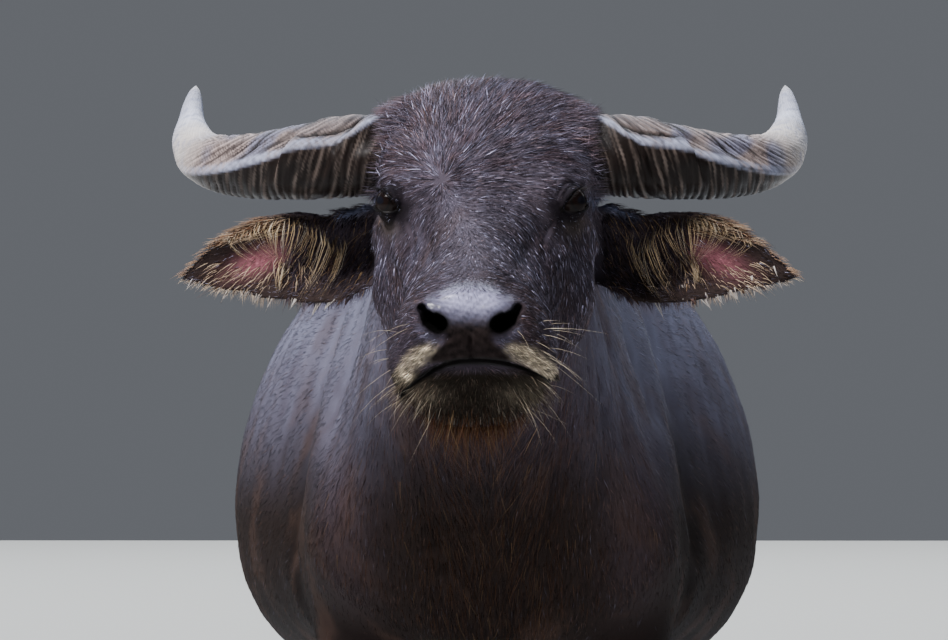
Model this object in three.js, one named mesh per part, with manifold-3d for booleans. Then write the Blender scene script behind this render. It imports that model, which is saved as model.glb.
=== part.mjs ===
// A swamp-type water buffalo, standing with its nose pushed forward, at life size.
// Millimetres, +Z up. The animal faces -Y and its left side is +X.
// It is laid out with y = 0 at the forelegs and z = 0 at the floor, and moved at the end
// so that the origin is the middle of its footprint on the floor.
import * as THREE from 'three';
import { mergeVertices } from 'three/addons/utils/BufferGeometryUtils.js';
import Module from 'manifold-3d';

const wasm = await Module();
wasm.setup();

// Driving dimensions
const WITHERS_HEIGHT = 1316;
const NOSE_Y = -1127;
const RUMP_Y = 1280;
const BARREL_HALF_WIDTH = 364;
const SHOULDER_HALF_WIDTH = 238;
const FACE_HALF_WIDTH = 122;
const FORELEG_X = 160;
const HINDLEG_X = 158;
const HEAD_TURN = THREE.MathUtils.degToRad(2);
const HEAD_PIVOT_Y = -650;
const HEAD_TURN_START_Y = -450;
const HEAD_TURN_FULL_Y = -700;
const EYE = { x: 104, y: -836, z: 1203, radius: 20, facets: [10, 7] };
const TAIL_Y = 1322;
const SWITCH_TOP_Z = 640;
const PARTING_GAP = 0.3;
const MERGE_DISTANCE = 1e-4;
const BODY_SEGMENTS = 24;
const LIMB_SEGMENTS = 12;
const TAIL_SEGMENTS = 8;
const BACKWARDS = new THREE.Vector3(0, 1, 0);
const UPWARDS = new THREE.Vector3(0, 0, 1);
const SIDES = [['left', 1], ['right', -1]];

// Colours seen on the animal
const HIDE = { color: 0x2b2726, roughness: 0.62, metalness: 0 };
const HIDE_WARM = { color: 0x33292a, roughness: 0.7, metalness: 0 };
const HORN = { color: 0x3a332d, roughness: 0.5, metalness: 0 };
const HOOF = { color: 0x26221f, roughness: 0.45, metalness: 0 };
const EYEBALL = { color: 0x120c09, roughness: 0.08, metalness: 0 };
const TAIL_HAIR = { color: 0x1c1613, roughness: 0.8, metalness: 0 };

// A smooth, monotone curve through pairs of [position, value].
function profile(pairs) {
  const at = pairs.map((pair) => pair[0]);
  const value = pairs.map((pair) => pair[1]);
  const last = pairs.length - 1;
  const rise = at.slice(1).map((x, i) => (value[i + 1] - value[i]) / (x - at[i]));
  const slope = at.map((_, i) => {
    if (i === 0) return rise[0];
    if (i === last) return rise[last - 1];
    if (rise[i - 1] * rise[i] <= 0) return 0;
    return (2 * rise[i - 1] * rise[i]) / (rise[i - 1] + rise[i]);
  });
  return (x) => {
    const t = THREE.MathUtils.clamp(x, at[0], at[last]);
    let i = 0;
    while (i < last - 1 && t > at[i + 1]) i += 1;
    const width = at[i + 1] - at[i];
    const u = (t - at[i]) / width;
    const u2 = u * u;
    const u3 = u2 * u;
    return (2 * u3 - 3 * u2 + 1) * value[i] + (u3 - 2 * u2 + u) * width * slope[i]
      + (3 * u2 - 2 * u3) * value[i + 1] + (u3 - u2) * width * slope[i + 1];
  };
}

// The upper outline from the nose over the forehead, crown, withers and back to the rump.
const topLine = profile([
  [NOSE_Y, 1066], [-1118, 1091], [-1100, 1109], [-1060, 1129], [-1000, 1157], [-950, 1183],
  [-900, 1212], [-860, 1238], [-830, 1260], [-800, 1285], [-770, 1308], [-740, 1329],
  [-710, 1345], [-680, 1353], [-650, 1350], [-610, 1337], [-560, 1323], [-480, 1310],
  [-380, 1303], [-250, 1302], [-100, 1308], [40, WITHERS_HEIGHT], [140, 1312], [260, 1292],
  [400, 1278], [600, 1272], [760, 1274], [890, 1280], [1000, 1272], [1100, 1248],
  [1190, 1205], [1240, 1160], [1268, 1110], [RUMP_Y, 1062],
]);

// The lower outline: upper lip, chin, jaw, throat, brisket, belly, groin and buttock.
const underLine = profile([
  [NOSE_Y, 1040], [-1112, 1027], [-1099, 1016], [-1091, 1000], [-1082, 972], [-1066, 953],
  [-1040, 946], [-960, 953], [-880, 962], [-800, 972], [-750, 977], [-690, 979],
  [-630, 974], [-570, 955], [-500, 922], [-420, 872], [-340, 815], [-270, 762],
  [-220, 715], [-180, 680], [-120, 652], [0, 630], [150, 612], [350, 585],
  [600, 560], [760, 566], [880, 590], [980, 640], [1080, 712], [1150, 780],
  [1205, 860], [1255, 965], [RUMP_Y, 1025],
]);

// Half the width at the widest level of each cross-section.
const halfWidth = profile([
  [NOSE_Y, 40], [-1120, 58], [-1105, 74], [-1085, 88], [-1060, 95], [-1030, 93],
  [-990, 84], [-950, 80], [-900, 86], [-860, 98], [-830, 110], [-800, 119],
  [-760, FACE_HALF_WIDTH], [-720, 125], [-680, 122], [-640, 116], [-580, 112], [-500, 116],
  [-400, 132], [-300, 158], [-200, 194], [-120, 220], [-40, 234], [40, SHOULDER_HALF_WIDTH],
  [120, 262], [220, 300], [350, 338], [500, 361], [600, BARREL_HALF_WIDTH - 1], [720, 352],
  [830, 328], [940, 296], [1040, 262], [1130, 222], [1200, 175], [1250, 120], [RUMP_Y, 60],
]);

// The height at which each cross-section is widest.
const widestLevel = profile([
  [NOSE_Y, 1052], [-1105, 1045], [-1060, 1040], [-1000, 1045], [-950, 1060], [-900, 1085],
  [-850, 1120], [-800, 1140], [-750, 1150], [-640, 1150], [-560, 1120], [-460, 1060],
  [-340, 980], [-220, 890], [-120, 800], [-20, 745], [80, 745], [200, 800], [350, 830],
  [600, 835], [800, 850], [900, 900], [1000, 960], [1100, 1010], [1200, 1040], [RUMP_Y, 1045],
]);

// How square the section is above and below that level: 2 is an ellipse, less is sharper.
const upperPower = profile([
  [NOSE_Y, 2], [-1100, 1.55], [-1040, 1.6], [-980, 1.85], [-900, 2], [-840, 2.6],
  [-760, 3], [-680, 3], [-620, 2.3], [-500, 2], [-380, 1.9], [-100, 1.7], [40, 1.62],
  [250, 1.75], [600, 1.84], [820, 1.9], [930, 2.2], [1100, 2.3], [RUMP_Y, 2.2],
]);
const lowerPower = profile([
  [NOSE_Y, 2.2], [-1060, 2.3], [-980, 2.4], [-850, 2.3], [-700, 2.3], [-400, 2.0],
  [-200, 2.0], [0, 2.3], [300, 2.5], [600, 2.6], [900, 2.3], [RUMP_Y, 2.2],
]);

// Local fullness and hollows: [name, centre, reach, push], mirrored to both sides.
const FORMS = [
  ['crown edge', [98, -690, 1306], [44, 52, 34], [24, 0, 5]],
  ['temple ridge', [112, -770, 1266], [36, 50, 40], [13, 0, 0]],
  ['brow', [120, -842, 1218], [34, 34, 26], [24, -3, 4]],
  ['orbit floor', [112, -880, 1168], [30, 30, 24], [-5, 0, 0]],
  ['cheek muscle', [120, -770, 1105], [40, 62, 70], [6, 0, 0]],
  ['nostril wing', [54, -1098, 1076], [20, 26, 20], [5, -6, 6]],
  ['lip', [88, -1056, 1022], [26, 32, 18], [3, 0, 0]],
  ['jaw angle', [70, -745, 990], [50, 60, 40], [8, 0, -6]],
  ['throat hollow', [60, -640, 985], [90, 60, 60], [0, 0, 8]],
  ['neck root', [190, -190, 1010], [80, 110, 150], [-14, 0, 0]],
  ['shoulder blade', [190, 0, 1075], [110, 110, 140], [22, 0, 0]],
  ['shoulder point', [190, -165, 815], [90, 85, 100], [30, -18, 0]],
  ['upper arm', [235, 60, 790], [70, 110, 110], [18, 0, 0]],
  ['girth hollow', [255, 200, 1000], [80, 56, 190], [-18, 0, 0]],
  ['brisket', [0, -225, 735], [95, 70, 65], [0, -26, 0]],
  ['flank hollow', [300, 800, 1085], [120, 70, 100], [-24, 0, 0]],
  ['hip', [235, 890, 1218], [60, 56, 42], [30, 0, 4]],
  ['rump hollow', [170, 1040, 1210], [80, 80, 50], [-6, 0, -6]],
  ['pin', [105, 1262, 1118], [48, 40, 42], [6, 16, 2]],
  ['udder', [48, 985, 640], [52, 82, 60], [0, 0, -34]],
];

// Moves a point of the body by every form that reaches it.
function shapeForms(point) {
  const moved = point.clone();
  for (const [, centre, reach, push] of FORMS) {
    for (const side of [1, -1]) {
      const d = ((point.x * side - centre[0]) / reach[0]) ** 2
        + ((point.y - centre[1]) / reach[1]) ** 2
        + ((point.z - centre[2]) / reach[2]) ** 2;
      const share = Math.exp(-d) * (centre[0] === 0 ? 0.5 : 1);
      moved.x += push[0] * side * share;
      moved.y += push[1] * share;
      moved.z += push[2] * share;
    }
  }
  return moved;
}

// Turns the head a little to its right about the top of the neck.
function turnHead(point, share = 1) {
  const angle = HEAD_TURN * share;
  const y = point.y - HEAD_PIVOT_Y;
  return new THREE.Vector3(
    point.x * Math.cos(angle) + y * Math.sin(angle),
    HEAD_PIVOT_Y + y * Math.cos(angle) - point.x * Math.sin(angle),
    point.z,
  );
}

function turnShare(y) {
  return THREE.MathUtils.smoothstep(HEAD_TURN_START_Y - y, 0, HEAD_TURN_START_Y - HEAD_TURN_FULL_Y);
}

// One body of triangles from rings of points, closed by a fan at each end.
function loft(rings) {
  const count = rings[0].length;
  const points = rings.flat();
  const faces = [];
  for (let r = 0; r < rings.length - 1; r += 1) {
    for (let i = 0; i < count; i += 1) {
      const a = r * count + i;
      const b = r * count + (i + 1) % count;
      faces.push(a, b, a + count, b, b + count, a + count);
    }
  }
  const capEnd = (start, flip) => {
    const middle = new THREE.Vector3();
    for (let i = 0; i < count; i += 1) middle.addScaledVector(points[start + i], 1 / count);
    const centre = points.push(middle) - 1;
    for (let i = 0; i < count; i += 1) {
      const a = start + i;
      const b = start + (i + 1) % count;
      faces.push(...(flip ? [centre, b, a] : [centre, a, b]));
    }
  };
  capEnd(0, true);
  capEnd((rings.length - 1) * count, false);
  const geometry = new THREE.BufferGeometry();
  const position = new Float32Array(points.flatMap((p) => [p.x, p.y, p.z]));
  geometry.setAttribute('position', new THREE.BufferAttribute(position, 3));
  geometry.setIndex(faces);
  return geometry;
}

// A geometry as a solid that can be joined and cut, with its faces pointing out.
function solid(geometry) {
  const bare = geometry.clone();
  bare.deleteAttribute('normal');
  bare.deleteAttribute('uv');
  const merged = mergeVertices(bare, MERGE_DISTANCE);
  const p = merged.getAttribute('position').array;
  const faces = Uint32Array.from(merged.getIndex().array);
  let volume = 0;
  for (let f = 0; f < faces.length; f += 3) {
    const [a, b, c] = [faces[f] * 3, faces[f + 1] * 3, faces[f + 2] * 3];
    volume += p[a] * (p[b + 1] * p[c + 2] - p[b + 2] * p[c + 1])
      + p[a + 1] * (p[b + 2] * p[c] - p[b] * p[c + 2])
      + p[a + 2] * (p[b] * p[c + 1] - p[b + 1] * p[c]);
  }
  if (volume < 0) {
    for (let f = 0; f < faces.length; f += 3) {
      [faces[f + 1], faces[f + 2]] = [faces[f + 2], faces[f + 1]];
    }
  }
  return new wasm.Manifold(new wasm.Mesh({
    numProp: 3, vertProperties: Float32Array.from(p), triVerts: faces,
  }));
}

function mirrored(rings) {
  return rings.map((ring) => ring.map((p) => new THREE.Vector3(-p.x, p.y, p.z)));
}

const onSide = (rings, side) => (side > 0 ? rings : mirrored(rings));

function steps(from, to, count) {
  return Array.from({ length: count }, (_, i) => from + ((to - from) * i) / count);
}

const signedPower = (value, power) => Math.sign(value) * Math.abs(value) ** power;

// Trunk, neck and head in one length, as upright cross-sections from rump to nose.
function bodyRing(y) {
  const ring = [];
  for (let i = 0; i < BODY_SEGMENTS; i += 1) {
    const angle = (2 * Math.PI * i) / BODY_SEGMENTS - Math.PI / 2;
    const c = Math.cos(angle);
    const s = Math.sin(angle);
    const power = s > 0 ? upperPower(y) : lowerPower(y);
    const reach = s > 0 ? topLine(y) - widestLevel(y) : widestLevel(y) - underLine(y);
    const point = new THREE.Vector3(
      halfWidth(y) * signedPower(c, 2 / power), y,
      widestLevel(y) + reach * signedPower(s, 2 / power),
    );
    ring.push(turnHead(shapeForms(point), turnShare(y)));
  }
  return ring;
}

function bodyGeometry() {
  const stations = [
    ...steps(NOSE_Y, -1040, 8), ...steps(-1040, -640, 15), ...steps(-640, -200, 7),
    ...steps(-200, 1100, 16), ...steps(1100, 1250, 4), 1250, 1268, RUMP_Y,
  ];
  return loft(stations.map(bodyRing));
}

// A limb as level cross-sections. Each row is [z, x, y, half width, half depth, front rise].
function limbRings(rows, legX, grow = 0) {
  return rows.map(([z, dx, y, wide, deep, rise]) => {
    const ring = [];
    for (let i = 0; i < LIMB_SEGMENTS; i += 1) {
      const angle = (2 * Math.PI * i) / LIMB_SEGMENTS;
      const forward = -(deep + grow) * Math.sin(angle);
      ring.push(new THREE.Vector3(
        legX + dx + (wide + grow) * Math.cos(angle), y + forward, z - forward * rise,
      ));
    }
    return ring;
  });
}

const CORONET_RISE = 0.3;
const FORELEG = [
  [850, 0, -30, 52, 130, 0], [780, 16, -4, 62, 128, 0], [715, 18, 22, 62, 108, 0],
  [655, 12, 18, 58, 84, 0], [590, 6, 8, 52, 67, 0], [510, 3, 2, 46, 54, 0],
  [440, 1, -2, 46, 50, 0],
  [400, 0, -6, 49, 53, 0], [360, 0, -7, 47, 50, 0], [325, 0, -2, 38, 40, 0],
  [260, 0, 2, 33, 34, 0], [205, 0, 4, 36, 39, 0], [170, 0, 2, 46, 47, 0.05],
  [138, 0, -5, 42, 42, 0.12], [106, 0, -16, 43, 43, 0.22], [74, 0, -27, 49, 50, CORONET_RISE],
];
const HINDLEG = [
  [1125, -34, 1128, 40, 105, 0], [1050, -6, 1096, 66, 152, 0], [965, 12, 1086, 78, 168, 0],
  [885, 22, 1070, 82, 186, 0],
  [805, 27, 1044, 82, 180, 0], [725, 26, 1014, 74, 155, 0], [655, 18, 1024, 62, 118, 0],
  [590, 8, 1070, 50, 88, 0],
  [540, 2, 1130, 44, 78, 0], [505, 0, 1165, 43, 76, 0], [465, 0, 1172, 44, 66, 0],
  [420, 0, 1168, 42, 52, 0], [370, 0, 1166, 36, 42, 0], [290, 0, 1160, 33, 36, 0],
  [215, 0, 1152, 37, 40, 0], [178, 0, 1146, 46, 48, 0.05], [144, 0, 1136, 42, 42, 0.12],
  [110, 0, 1122, 43, 43, 0.22], [74, 0, 1108, 48, 49, CORONET_RISE],
];

// Four short teats under the udder, pointing down and a little apart.
const TEAT = { radius: 11, tipRadius: 7, drop: 65, splay: 5, lean: 3, segments: 6 };
const TEAT_PAIRS = [{ x: 34, y: 952, z: 622 }, { x: 31, y: 1018, z: 652 }];

function teatSolid(side, { x, y, z }) {
  const root = new THREE.Vector3(x * side, y, z);
  const tip = new THREE.Vector3((x + TEAT.splay) * side, y - TEAT.lean, z - TEAT.drop);
  const rows = [
    [root, TEAT.radius], [root.clone().lerp(tip, 0.8), TEAT.radius * 0.9], [tip, TEAT.tipRadius],
  ];
  return solid(loft(sweep(rows, TEAT.segments, 0, () => 1, BACKWARDS)));
}

// One claw of a cloven hoof: flat sole on the floor, sloped front wall, flat inner side.
const CLAW = {
  length: 124,
  width: 52,
  gap: 3,
  toeGap: 7,
  clearance: PARTING_GAP,
  levels: [0, 0.15, 1],
  segments: 10,
  lean: 0.2,
  topNarrowing: 5,
  toeTaper: 0.42,
  soleForward: 6,
  toeForward: 14,
};

function clawRings(foot, side) {
  return CLAW.levels.map((level) => {
    const ring = [];
    for (let i = 0; i < CLAW.segments; i += 1) {
      const angle = (2 * Math.PI * i) / CLAW.segments;
      const along = Math.sin(angle);
      const across = 0.5 + 0.5 * Math.cos(angle);
      const toe = Math.max(0, along);
      const wide = (CLAW.width - CLAW.topNarrowing * level) * (1 - CLAW.toeTaper * toe * toe);
      const inner = CLAW.gap + CLAW.toeGap * toe * toe * (1 - level);
      const y = foot.y - (CLAW.soleForward + CLAW.toeForward * toe) * (1 - level)
        - (CLAW.length / 2) * (1 - CLAW.lean * level) * along;
      const top = foot.top - CLAW.clearance - (y - foot.y) * CORONET_RISE;
      ring.push(new THREE.Vector3(
        foot.x + side * (inner + wide * Math.sqrt(across)), y, top * level,
      ));
    }
    return ring;
  });
}

// A dewclaw: a blunt horny cone behind the fetlock, point down and back.
// Its root and tip are [out, back, up] from the fetlock's middle at floor level.
const DEWCLAW = { root: [20, 22, 160], tip: [27, 55, 120], radius: 15, segments: 7 };

function dewclawRings(foot, side, grow = 0) {
  const place = ([out, back, up]) => new THREE.Vector3(foot.x + side * out, foot.fetlockY + back, up);
  const root = place(DEWCLAW.root);
  const tip = place(DEWCLAW.tip);
  const rows = [
    [root, DEWCLAW.radius], [root.clone().lerp(tip, 0.7), DEWCLAW.radius * 0.95],
    [tip, DEWCLAW.radius * 0.4],
  ];
  return sweep(rows, DEWCLAW.segments, grow);
}

// Sections along a path, kept level by one fixed direction. Each row is [point, radius].
function sweep(rows, segments, grow = 0, outline = () => 1, level = UPWARDS) {
  return rows.map(([point, radius], r) => {
    const before = rows[Math.max(0, r - 1)][0];
    const after = rows[Math.min(rows.length - 1, r + 1)][0];
    const along = after.clone().sub(before).normalize();
    const across = level.clone().cross(along).normalize();
    const up = along.clone().cross(across).normalize();
    const end = Number(r === rows.length - 1) - Number(r === 0);
    const centre = point.clone().addScaledVector(along, end * grow);
    const ring = [];
    for (let i = 0; i < segments; i += 1) {
      const angle = (2 * Math.PI * i) / segments;
      const size = radius * outline(angle, r / (rows.length - 1)) + grow;
      ring.push(centre.clone()
        .addScaledVector(across, size * Math.cos(angle))
        .addScaledVector(up, size * Math.sin(angle)));
    }
    return ring;
  });
}

// Horn: out from the crown, back, and up to the tip. Three-sided, with a crest along its front.
const HORN_CREST_ANGLE = THREE.MathUtils.degToRad(200);
const HORN_CREST = 0.13;
const HORN_SIDES = 12;
const HORN_RINGS = 12;
const hornPath = new THREE.CatmullRomCurve3([
  new THREE.Vector3(78, -700, 1264), new THREE.Vector3(150, -694, 1259),
  new THREE.Vector3(215, -674, 1253), new THREE.Vector3(280, -636, 1250),
  new THREE.Vector3(328, -582, 1257), new THREE.Vector3(353, -515, 1280),
  new THREE.Vector3(361, -450, 1314), new THREE.Vector3(358, -405, 1358),
], false, 'centripetal');
const hornHalfHeight = profile([
  [0, 47], [0.16, 47], [0.32, 42], [0.48, 36], [0.64, 30], [0.78, 24], [0.9, 16.5],
  [0.97, 10], [1, 4],
]);

function hornRings(grow = 0) {
  const rows = [];
  for (let i = 0; i <= HORN_RINGS; i += 1) {
    const t = i / HORN_RINGS;
    rows.push([hornPath.getPointAt(t), hornHalfHeight(t)]);
  }
  const threeSided = (angle, t) => (
    1 + HORN_CREST * (1 - t) * Math.cos(3 * (angle - HORN_CREST_ANGLE))
  );
  return sweep(rows, HORN_SIDES, grow, threeSided);
}

// Ear: a cupped leaf standing out to the side and facing forward.
const EAR = {
  baseX: 108, tipX: 361, baseY: -686, tipY: -668, thick: 9, rim: 0.3, rings: 11, segments: 16,
};
const earMiddle = profile([
  [0, 1157], [0.1, 1155], [0.2, 1146], [0.32, 1141], [0.45, 1144], [0.6, 1144], [0.75, 1141],
  [0.88, 1131], [1, 1120],
]);
const earHalfHeight = profile([
  [0, 46], [0.1, 47], [0.2, 47], [0.3, 54], [0.45, 54.5], [0.58, 51], [0.7, 43], [0.8, 33],
  [0.9, 19], [0.96, 10], [1, 3],
]);
// How much more than the gap a sloping face of a seat is moved.
const SEAT_SLACK = 1.5;
const earCup = profile([[0, 40], [0.15, 44], [0.35, 36], [0.6, 24], [0.85, 10], [1, 1]]);
const earThickness = profile([[0, 46], [0.1, 34], [0.22, 14], [0.4, EAR.thick], [1, 4]]);

function earRings(grow = 0) {
  const rings = [];
  for (let r = 0; r <= EAR.rings; r += 1) {
    const t = r / EAR.rings;
    const x = THREE.MathUtils.lerp(EAR.baseX - grow, EAR.tipX + grow, t);
    const y = THREE.MathUtils.lerp(EAR.baseY, EAR.tipY, t);
    const ring = [];
    for (let i = 0; i < EAR.segments; i += 1) {
      const angle = (2 * Math.PI * i) / EAR.segments;
      const onRim = i === EAR.segments / 4 || i === (EAR.segments * 3) / 4;
      const across = Math.sin(angle);
      const side = onRim ? 0 : Math.cos(angle);
      const thick = (earThickness(t) / 2) * THREE.MathUtils.lerp(EAR.rim, 1, Math.abs(side));
      const back = earCup(t) * (1 - across * across);
      ring.push(new THREE.Vector3(
        x,
        y + back + signedPower(side, 0.5) * thick + Math.sign(side) * SEAT_SLACK * grow,
        earMiddle(t) + (earHalfHeight(t) + (onRim ? grow : 0)) * across,
      ));
    }
    rings.push(ring);
  }
  return rings;
}

// Tail: hangs straight from the tail head, with a switch of hair at its end.
const tailRows = [
  [new THREE.Vector3(0, 1170, 1196), 36], [new THREE.Vector3(0, 1235, 1186), 34],
  [new THREE.Vector3(0, 1284, 1148), 31], [new THREE.Vector3(0, 1310, 1080), 27],
  [new THREE.Vector3(0, TAIL_Y - 2, 980), 22], [new THREE.Vector3(0, TAIL_Y, 860), 18],
  [new THREE.Vector3(0, TAIL_Y, 740), 15], [new THREE.Vector3(0, TAIL_Y, SWITCH_TOP_Z), 13],
];
const switchRows = [
  [new THREE.Vector3(0, TAIL_Y, SWITCH_TOP_Z - PARTING_GAP), 13], [new THREE.Vector3(0, TAIL_Y, 590), 26],
  [new THREE.Vector3(0, TAIL_Y, 520), 32], [new THREE.Vector3(0, TAIL_Y, 450), 22],
  [new THREE.Vector3(0, TAIL_Y, 400), 5],
];

// How much more than the gap a region's corner is drawn in, so that its sides clear it too.
const CORNER_SLACK = 1.6;

// A block with the side outline of a region of the body, between two widths.
// Its outline is [y, z] pairs, and inset draws every corner towards the middle.
function region(outline, xFrom, xTo, inset = 0) {
  const corners = outline.map(([y, z]) => new THREE.Vector2(y, z));
  const middle = new THREE.Vector2();
  for (const corner of corners) middle.addScaledVector(corner, 1 / corners.length);
  const shape = new THREE.Shape(corners.map((corner) => {
    const reach = corner.distanceTo(middle);
    return corner.clone().lerp(middle, (inset * CORNER_SLACK) / reach);
  }));
  const depth = xTo - xFrom - 2 * inset;
  const geometry = new THREE.ExtrudeGeometry(shape, { depth, bevelEnabled: false });
  geometry.applyMatrix4(new THREE.Matrix4().makeBasis(
    new THREE.Vector3(0, 1, 0), new THREE.Vector3(0, 0, 1), new THREE.Vector3(1, 0, 0),
  ));
  geometry.translate(xFrom + inset, 0, 0);
  return solid(geometry);
}

const FAR = 900;
const REGIONS = {
  head: {
    outline: [[-1400, 880], [-1400, 1500], [-585, 1500], [-640, 880]], x: [-FAR, FAR],
  },
  neck: {
    outline: [[-640, 880], [-585, 1500], [-90, 1500], [-120, 1200], [-262, 640], [-600, 640]],
    x: [-FAR, FAR],
  },
  jaw: {
    outline: [[-1400, 880], [-1400, 1017], [-1085, 1017], [-1035, 1000], [-830, 1010], [-735, 880]],
    x: [-FAR, FAR],
  },
  foreleg: {
    outline: [[-250, -60], [-250, 640], [-150, 700], [150, 715], [185, 560], [185, -60]],
    x: [62, FAR],
  },
  hindleg: {
    outline: [[830, -60], [830, 600], [905, 800], [1010, 985], [1500, 1010], [1500, -60]],
    x: [52, FAR],
  },
};

function regionSolid(name, side = 1, inset = 0) {
  const { outline, x } = REGIONS[name];
  const [from, to] = side > 0 ? x : [-x[1], -x[0]];
  return region(outline, from, to, inset);
}

function eyeSolid(side, grow = 0) {
  const ball = new THREE.SphereGeometry(EYE.radius + grow, ...EYE.facets);
  const place = turnHead(new THREE.Vector3(EYE.x * side, EYE.y, EYE.z));
  ball.translate(place.x, place.y, place.z);
  return solid(ball);
}

// Ears turn with the head, after the right-hand one is mirrored.
function earSolid(side, grow = 0) {
  return solid(loft(onSide(earRings(grow), side).map((ring) => ring.map((p) => turnHead(p)))));
}

function hornSolid(side, grow = 0) {
  return solid(loft(onSide(hornRings(grow), side)));
}

function tailSolid(rows, grow = 0) {
  return solid(loft(sweep(rows, TAIL_SEGMENTS, grow, () => 1, BACKWARDS)));
}

// Trunk, neck, head, legs and teats as one body.
let flesh = solid(bodyGeometry());
const feet = [
  { name: 'fore', rows: FORELEG, x: FORELEG_X },
  { name: 'hind', rows: HINDLEG, x: HINDLEG_X },
];
for (const { rows, x } of feet) {
  for (const [, side] of SIDES) {
    flesh = flesh.add(solid(loft(onSide(limbRings(rows, x), side))));
  }
}
for (const [, side] of SIDES) {
  for (const teat of TEAT_PAIRS) flesh = flesh.add(teatSolid(side, teat));
}

// Every horny or separate piece gets its seat in the flesh.
const pieces = new Map();
for (const [sideName, side] of SIDES) {
  pieces.set(`horn_${sideName}`, [hornSolid(side), HORN]);
  pieces.set(`ear_${sideName}`, [earSolid(side), HIDE_WARM]);
  pieces.set(`eye_${sideName}`, [eyeSolid(side), EYEBALL]);
  flesh = flesh.subtract(hornSolid(side, PARTING_GAP));
  flesh = flesh.subtract(earSolid(side, PARTING_GAP));
  flesh = flesh.subtract(eyeSolid(side, PARTING_GAP));
  for (const { name, rows, x } of feet) {
    const coronet = rows[rows.length - 1];
    const fetlock = rows[rows.length - 4];
    const foot = { x: x * side, y: coronet[2], top: coronet[0], fetlockY: fetlock[2] };
    for (const [edge, out] of [['outer', side], ['inner', -side]]) {
      const label = `${name}_${sideName}_${edge}`;
      pieces.set(`claw_${label}`, [solid(loft(clawRings(foot, out))), HOOF]);
      pieces.set(`dewclaw_${label}`, [solid(loft(dewclawRings(foot, out))), HOOF]);
      flesh = flesh.subtract(solid(loft(dewclawRings(foot, out, PARTING_GAP))));
    }
  }
}
pieces.set('tail', [tailSolid(tailRows), HIDE]);
pieces.set('tail_switch', [tailSolid(switchRows), TAIL_HAIR]);
flesh = flesh.subtract(tailSolid(tailRows, PARTING_GAP));

// The flesh is parted into its named lengths.
let trunk = flesh;
function part(name, node, side = 1, from = flesh) {
  pieces.set(node, [from.intersect(regionSolid(name, side, PARTING_GAP)), HIDE]);
  trunk = trunk.subtract(regionSolid(name, side));
}
part('jaw', 'jaw');
part('head', 'head', 1, flesh.subtract(regionSolid('jaw')));
part('neck', 'neck');
for (const [sideName, side] of SIDES) {
  part('foreleg', `foreleg_${sideName}`, side);
  part('hindleg', `hindleg_${sideName}`, side);
}
// The trunk is the large body that is left, without the slivers between two cuts.
const [largest] = trunk.decompose().sort((a, b) => b.volume() - a.volume());
pieces.set('trunk', [largest, HIDE]);

function meshFrom(name, piece, finish) {
  const { vertProperties, triVerts, numProp } = piece.getMesh();
  const position = new Float32Array((vertProperties.length / numProp) * 3);
  for (let v = 0; v < position.length / 3; v += 1) {
    for (let k = 0; k < 3; k += 1) position[v * 3 + k] = vertProperties[v * numProp + k];
  }
  const geometry = new THREE.BufferGeometry();
  geometry.setAttribute('position', new THREE.BufferAttribute(position, 3));
  geometry.setIndex(new THREE.BufferAttribute(Uint32Array.from(triVerts), 1));
  geometry.computeVertexNormals();
  const mesh = new THREE.Mesh(geometry, new THREE.MeshStandardMaterial(finish));
  mesh.name = name;
  return mesh;
}

const buffalo = new THREE.Group();
for (const [name, [piece, finish]] of pieces) buffalo.add(meshFrom(name, piece, finish));

// The origin goes to the middle of the bounding box, at floor level.
const box = new THREE.Box3().setFromObject(buffalo);
const middle = box.getCenter(new THREE.Vector3());
for (const mesh of buffalo.children) mesh.geometry.translate(-middle.x, -middle.y, -box.min.z);

export default buffalo;
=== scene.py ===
"""A still, life-size water buffalo: skin, coat, horns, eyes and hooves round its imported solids."""

import logging
import math
from dataclasses import dataclass, field
from enum import Enum
from typing import Callable, Sequence

import bmesh
import bpy
import numpy as np
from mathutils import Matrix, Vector
from mathutils.bvhtree import BVHTree


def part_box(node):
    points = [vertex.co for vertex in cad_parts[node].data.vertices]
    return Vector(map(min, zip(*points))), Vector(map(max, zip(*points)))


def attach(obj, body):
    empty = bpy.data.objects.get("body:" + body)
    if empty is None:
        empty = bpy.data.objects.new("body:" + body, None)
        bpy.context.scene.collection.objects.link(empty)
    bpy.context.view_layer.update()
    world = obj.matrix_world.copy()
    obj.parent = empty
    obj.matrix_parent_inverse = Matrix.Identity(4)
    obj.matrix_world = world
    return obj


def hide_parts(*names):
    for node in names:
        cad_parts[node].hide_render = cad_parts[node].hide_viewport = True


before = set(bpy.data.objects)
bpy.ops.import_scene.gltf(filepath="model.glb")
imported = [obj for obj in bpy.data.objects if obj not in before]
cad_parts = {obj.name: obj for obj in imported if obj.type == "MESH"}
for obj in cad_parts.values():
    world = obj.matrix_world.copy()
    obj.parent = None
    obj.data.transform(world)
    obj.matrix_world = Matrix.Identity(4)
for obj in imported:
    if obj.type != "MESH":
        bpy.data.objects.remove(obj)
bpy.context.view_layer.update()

log = logging.getLogger("buffalo")
logging.basicConfig(level=logging.INFO, format="%(name)s %(levelname)s %(message)s")

MM = 0.001
Array = np.ndarray


def vec(*values: float) -> Array:
    """Makes a float vector."""
    return np.array(values, float)


def unit(vectors: Array) -> Array:
    """Scales vectors to length one, leaving zero vectors alone."""
    length = np.linalg.norm(vectors, axis=-1, keepdims=True)
    return vectors / np.maximum(length, 1e-12)


def smooth(value: Array, start: float, end: float) -> Array:
    """Rises smoothly from 0 at start to 1 at end; end may lie below start."""
    t = np.clip((value - start) / (end - start), 0, 1)
    return t * t * (3 - 2 * t)


def bell(distance: Array, reach: float) -> Array:
    """A Gaussian bell that is 1 at distance 0 and 0.37 at reach."""
    return np.exp(-((distance / reach) ** 2))


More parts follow.
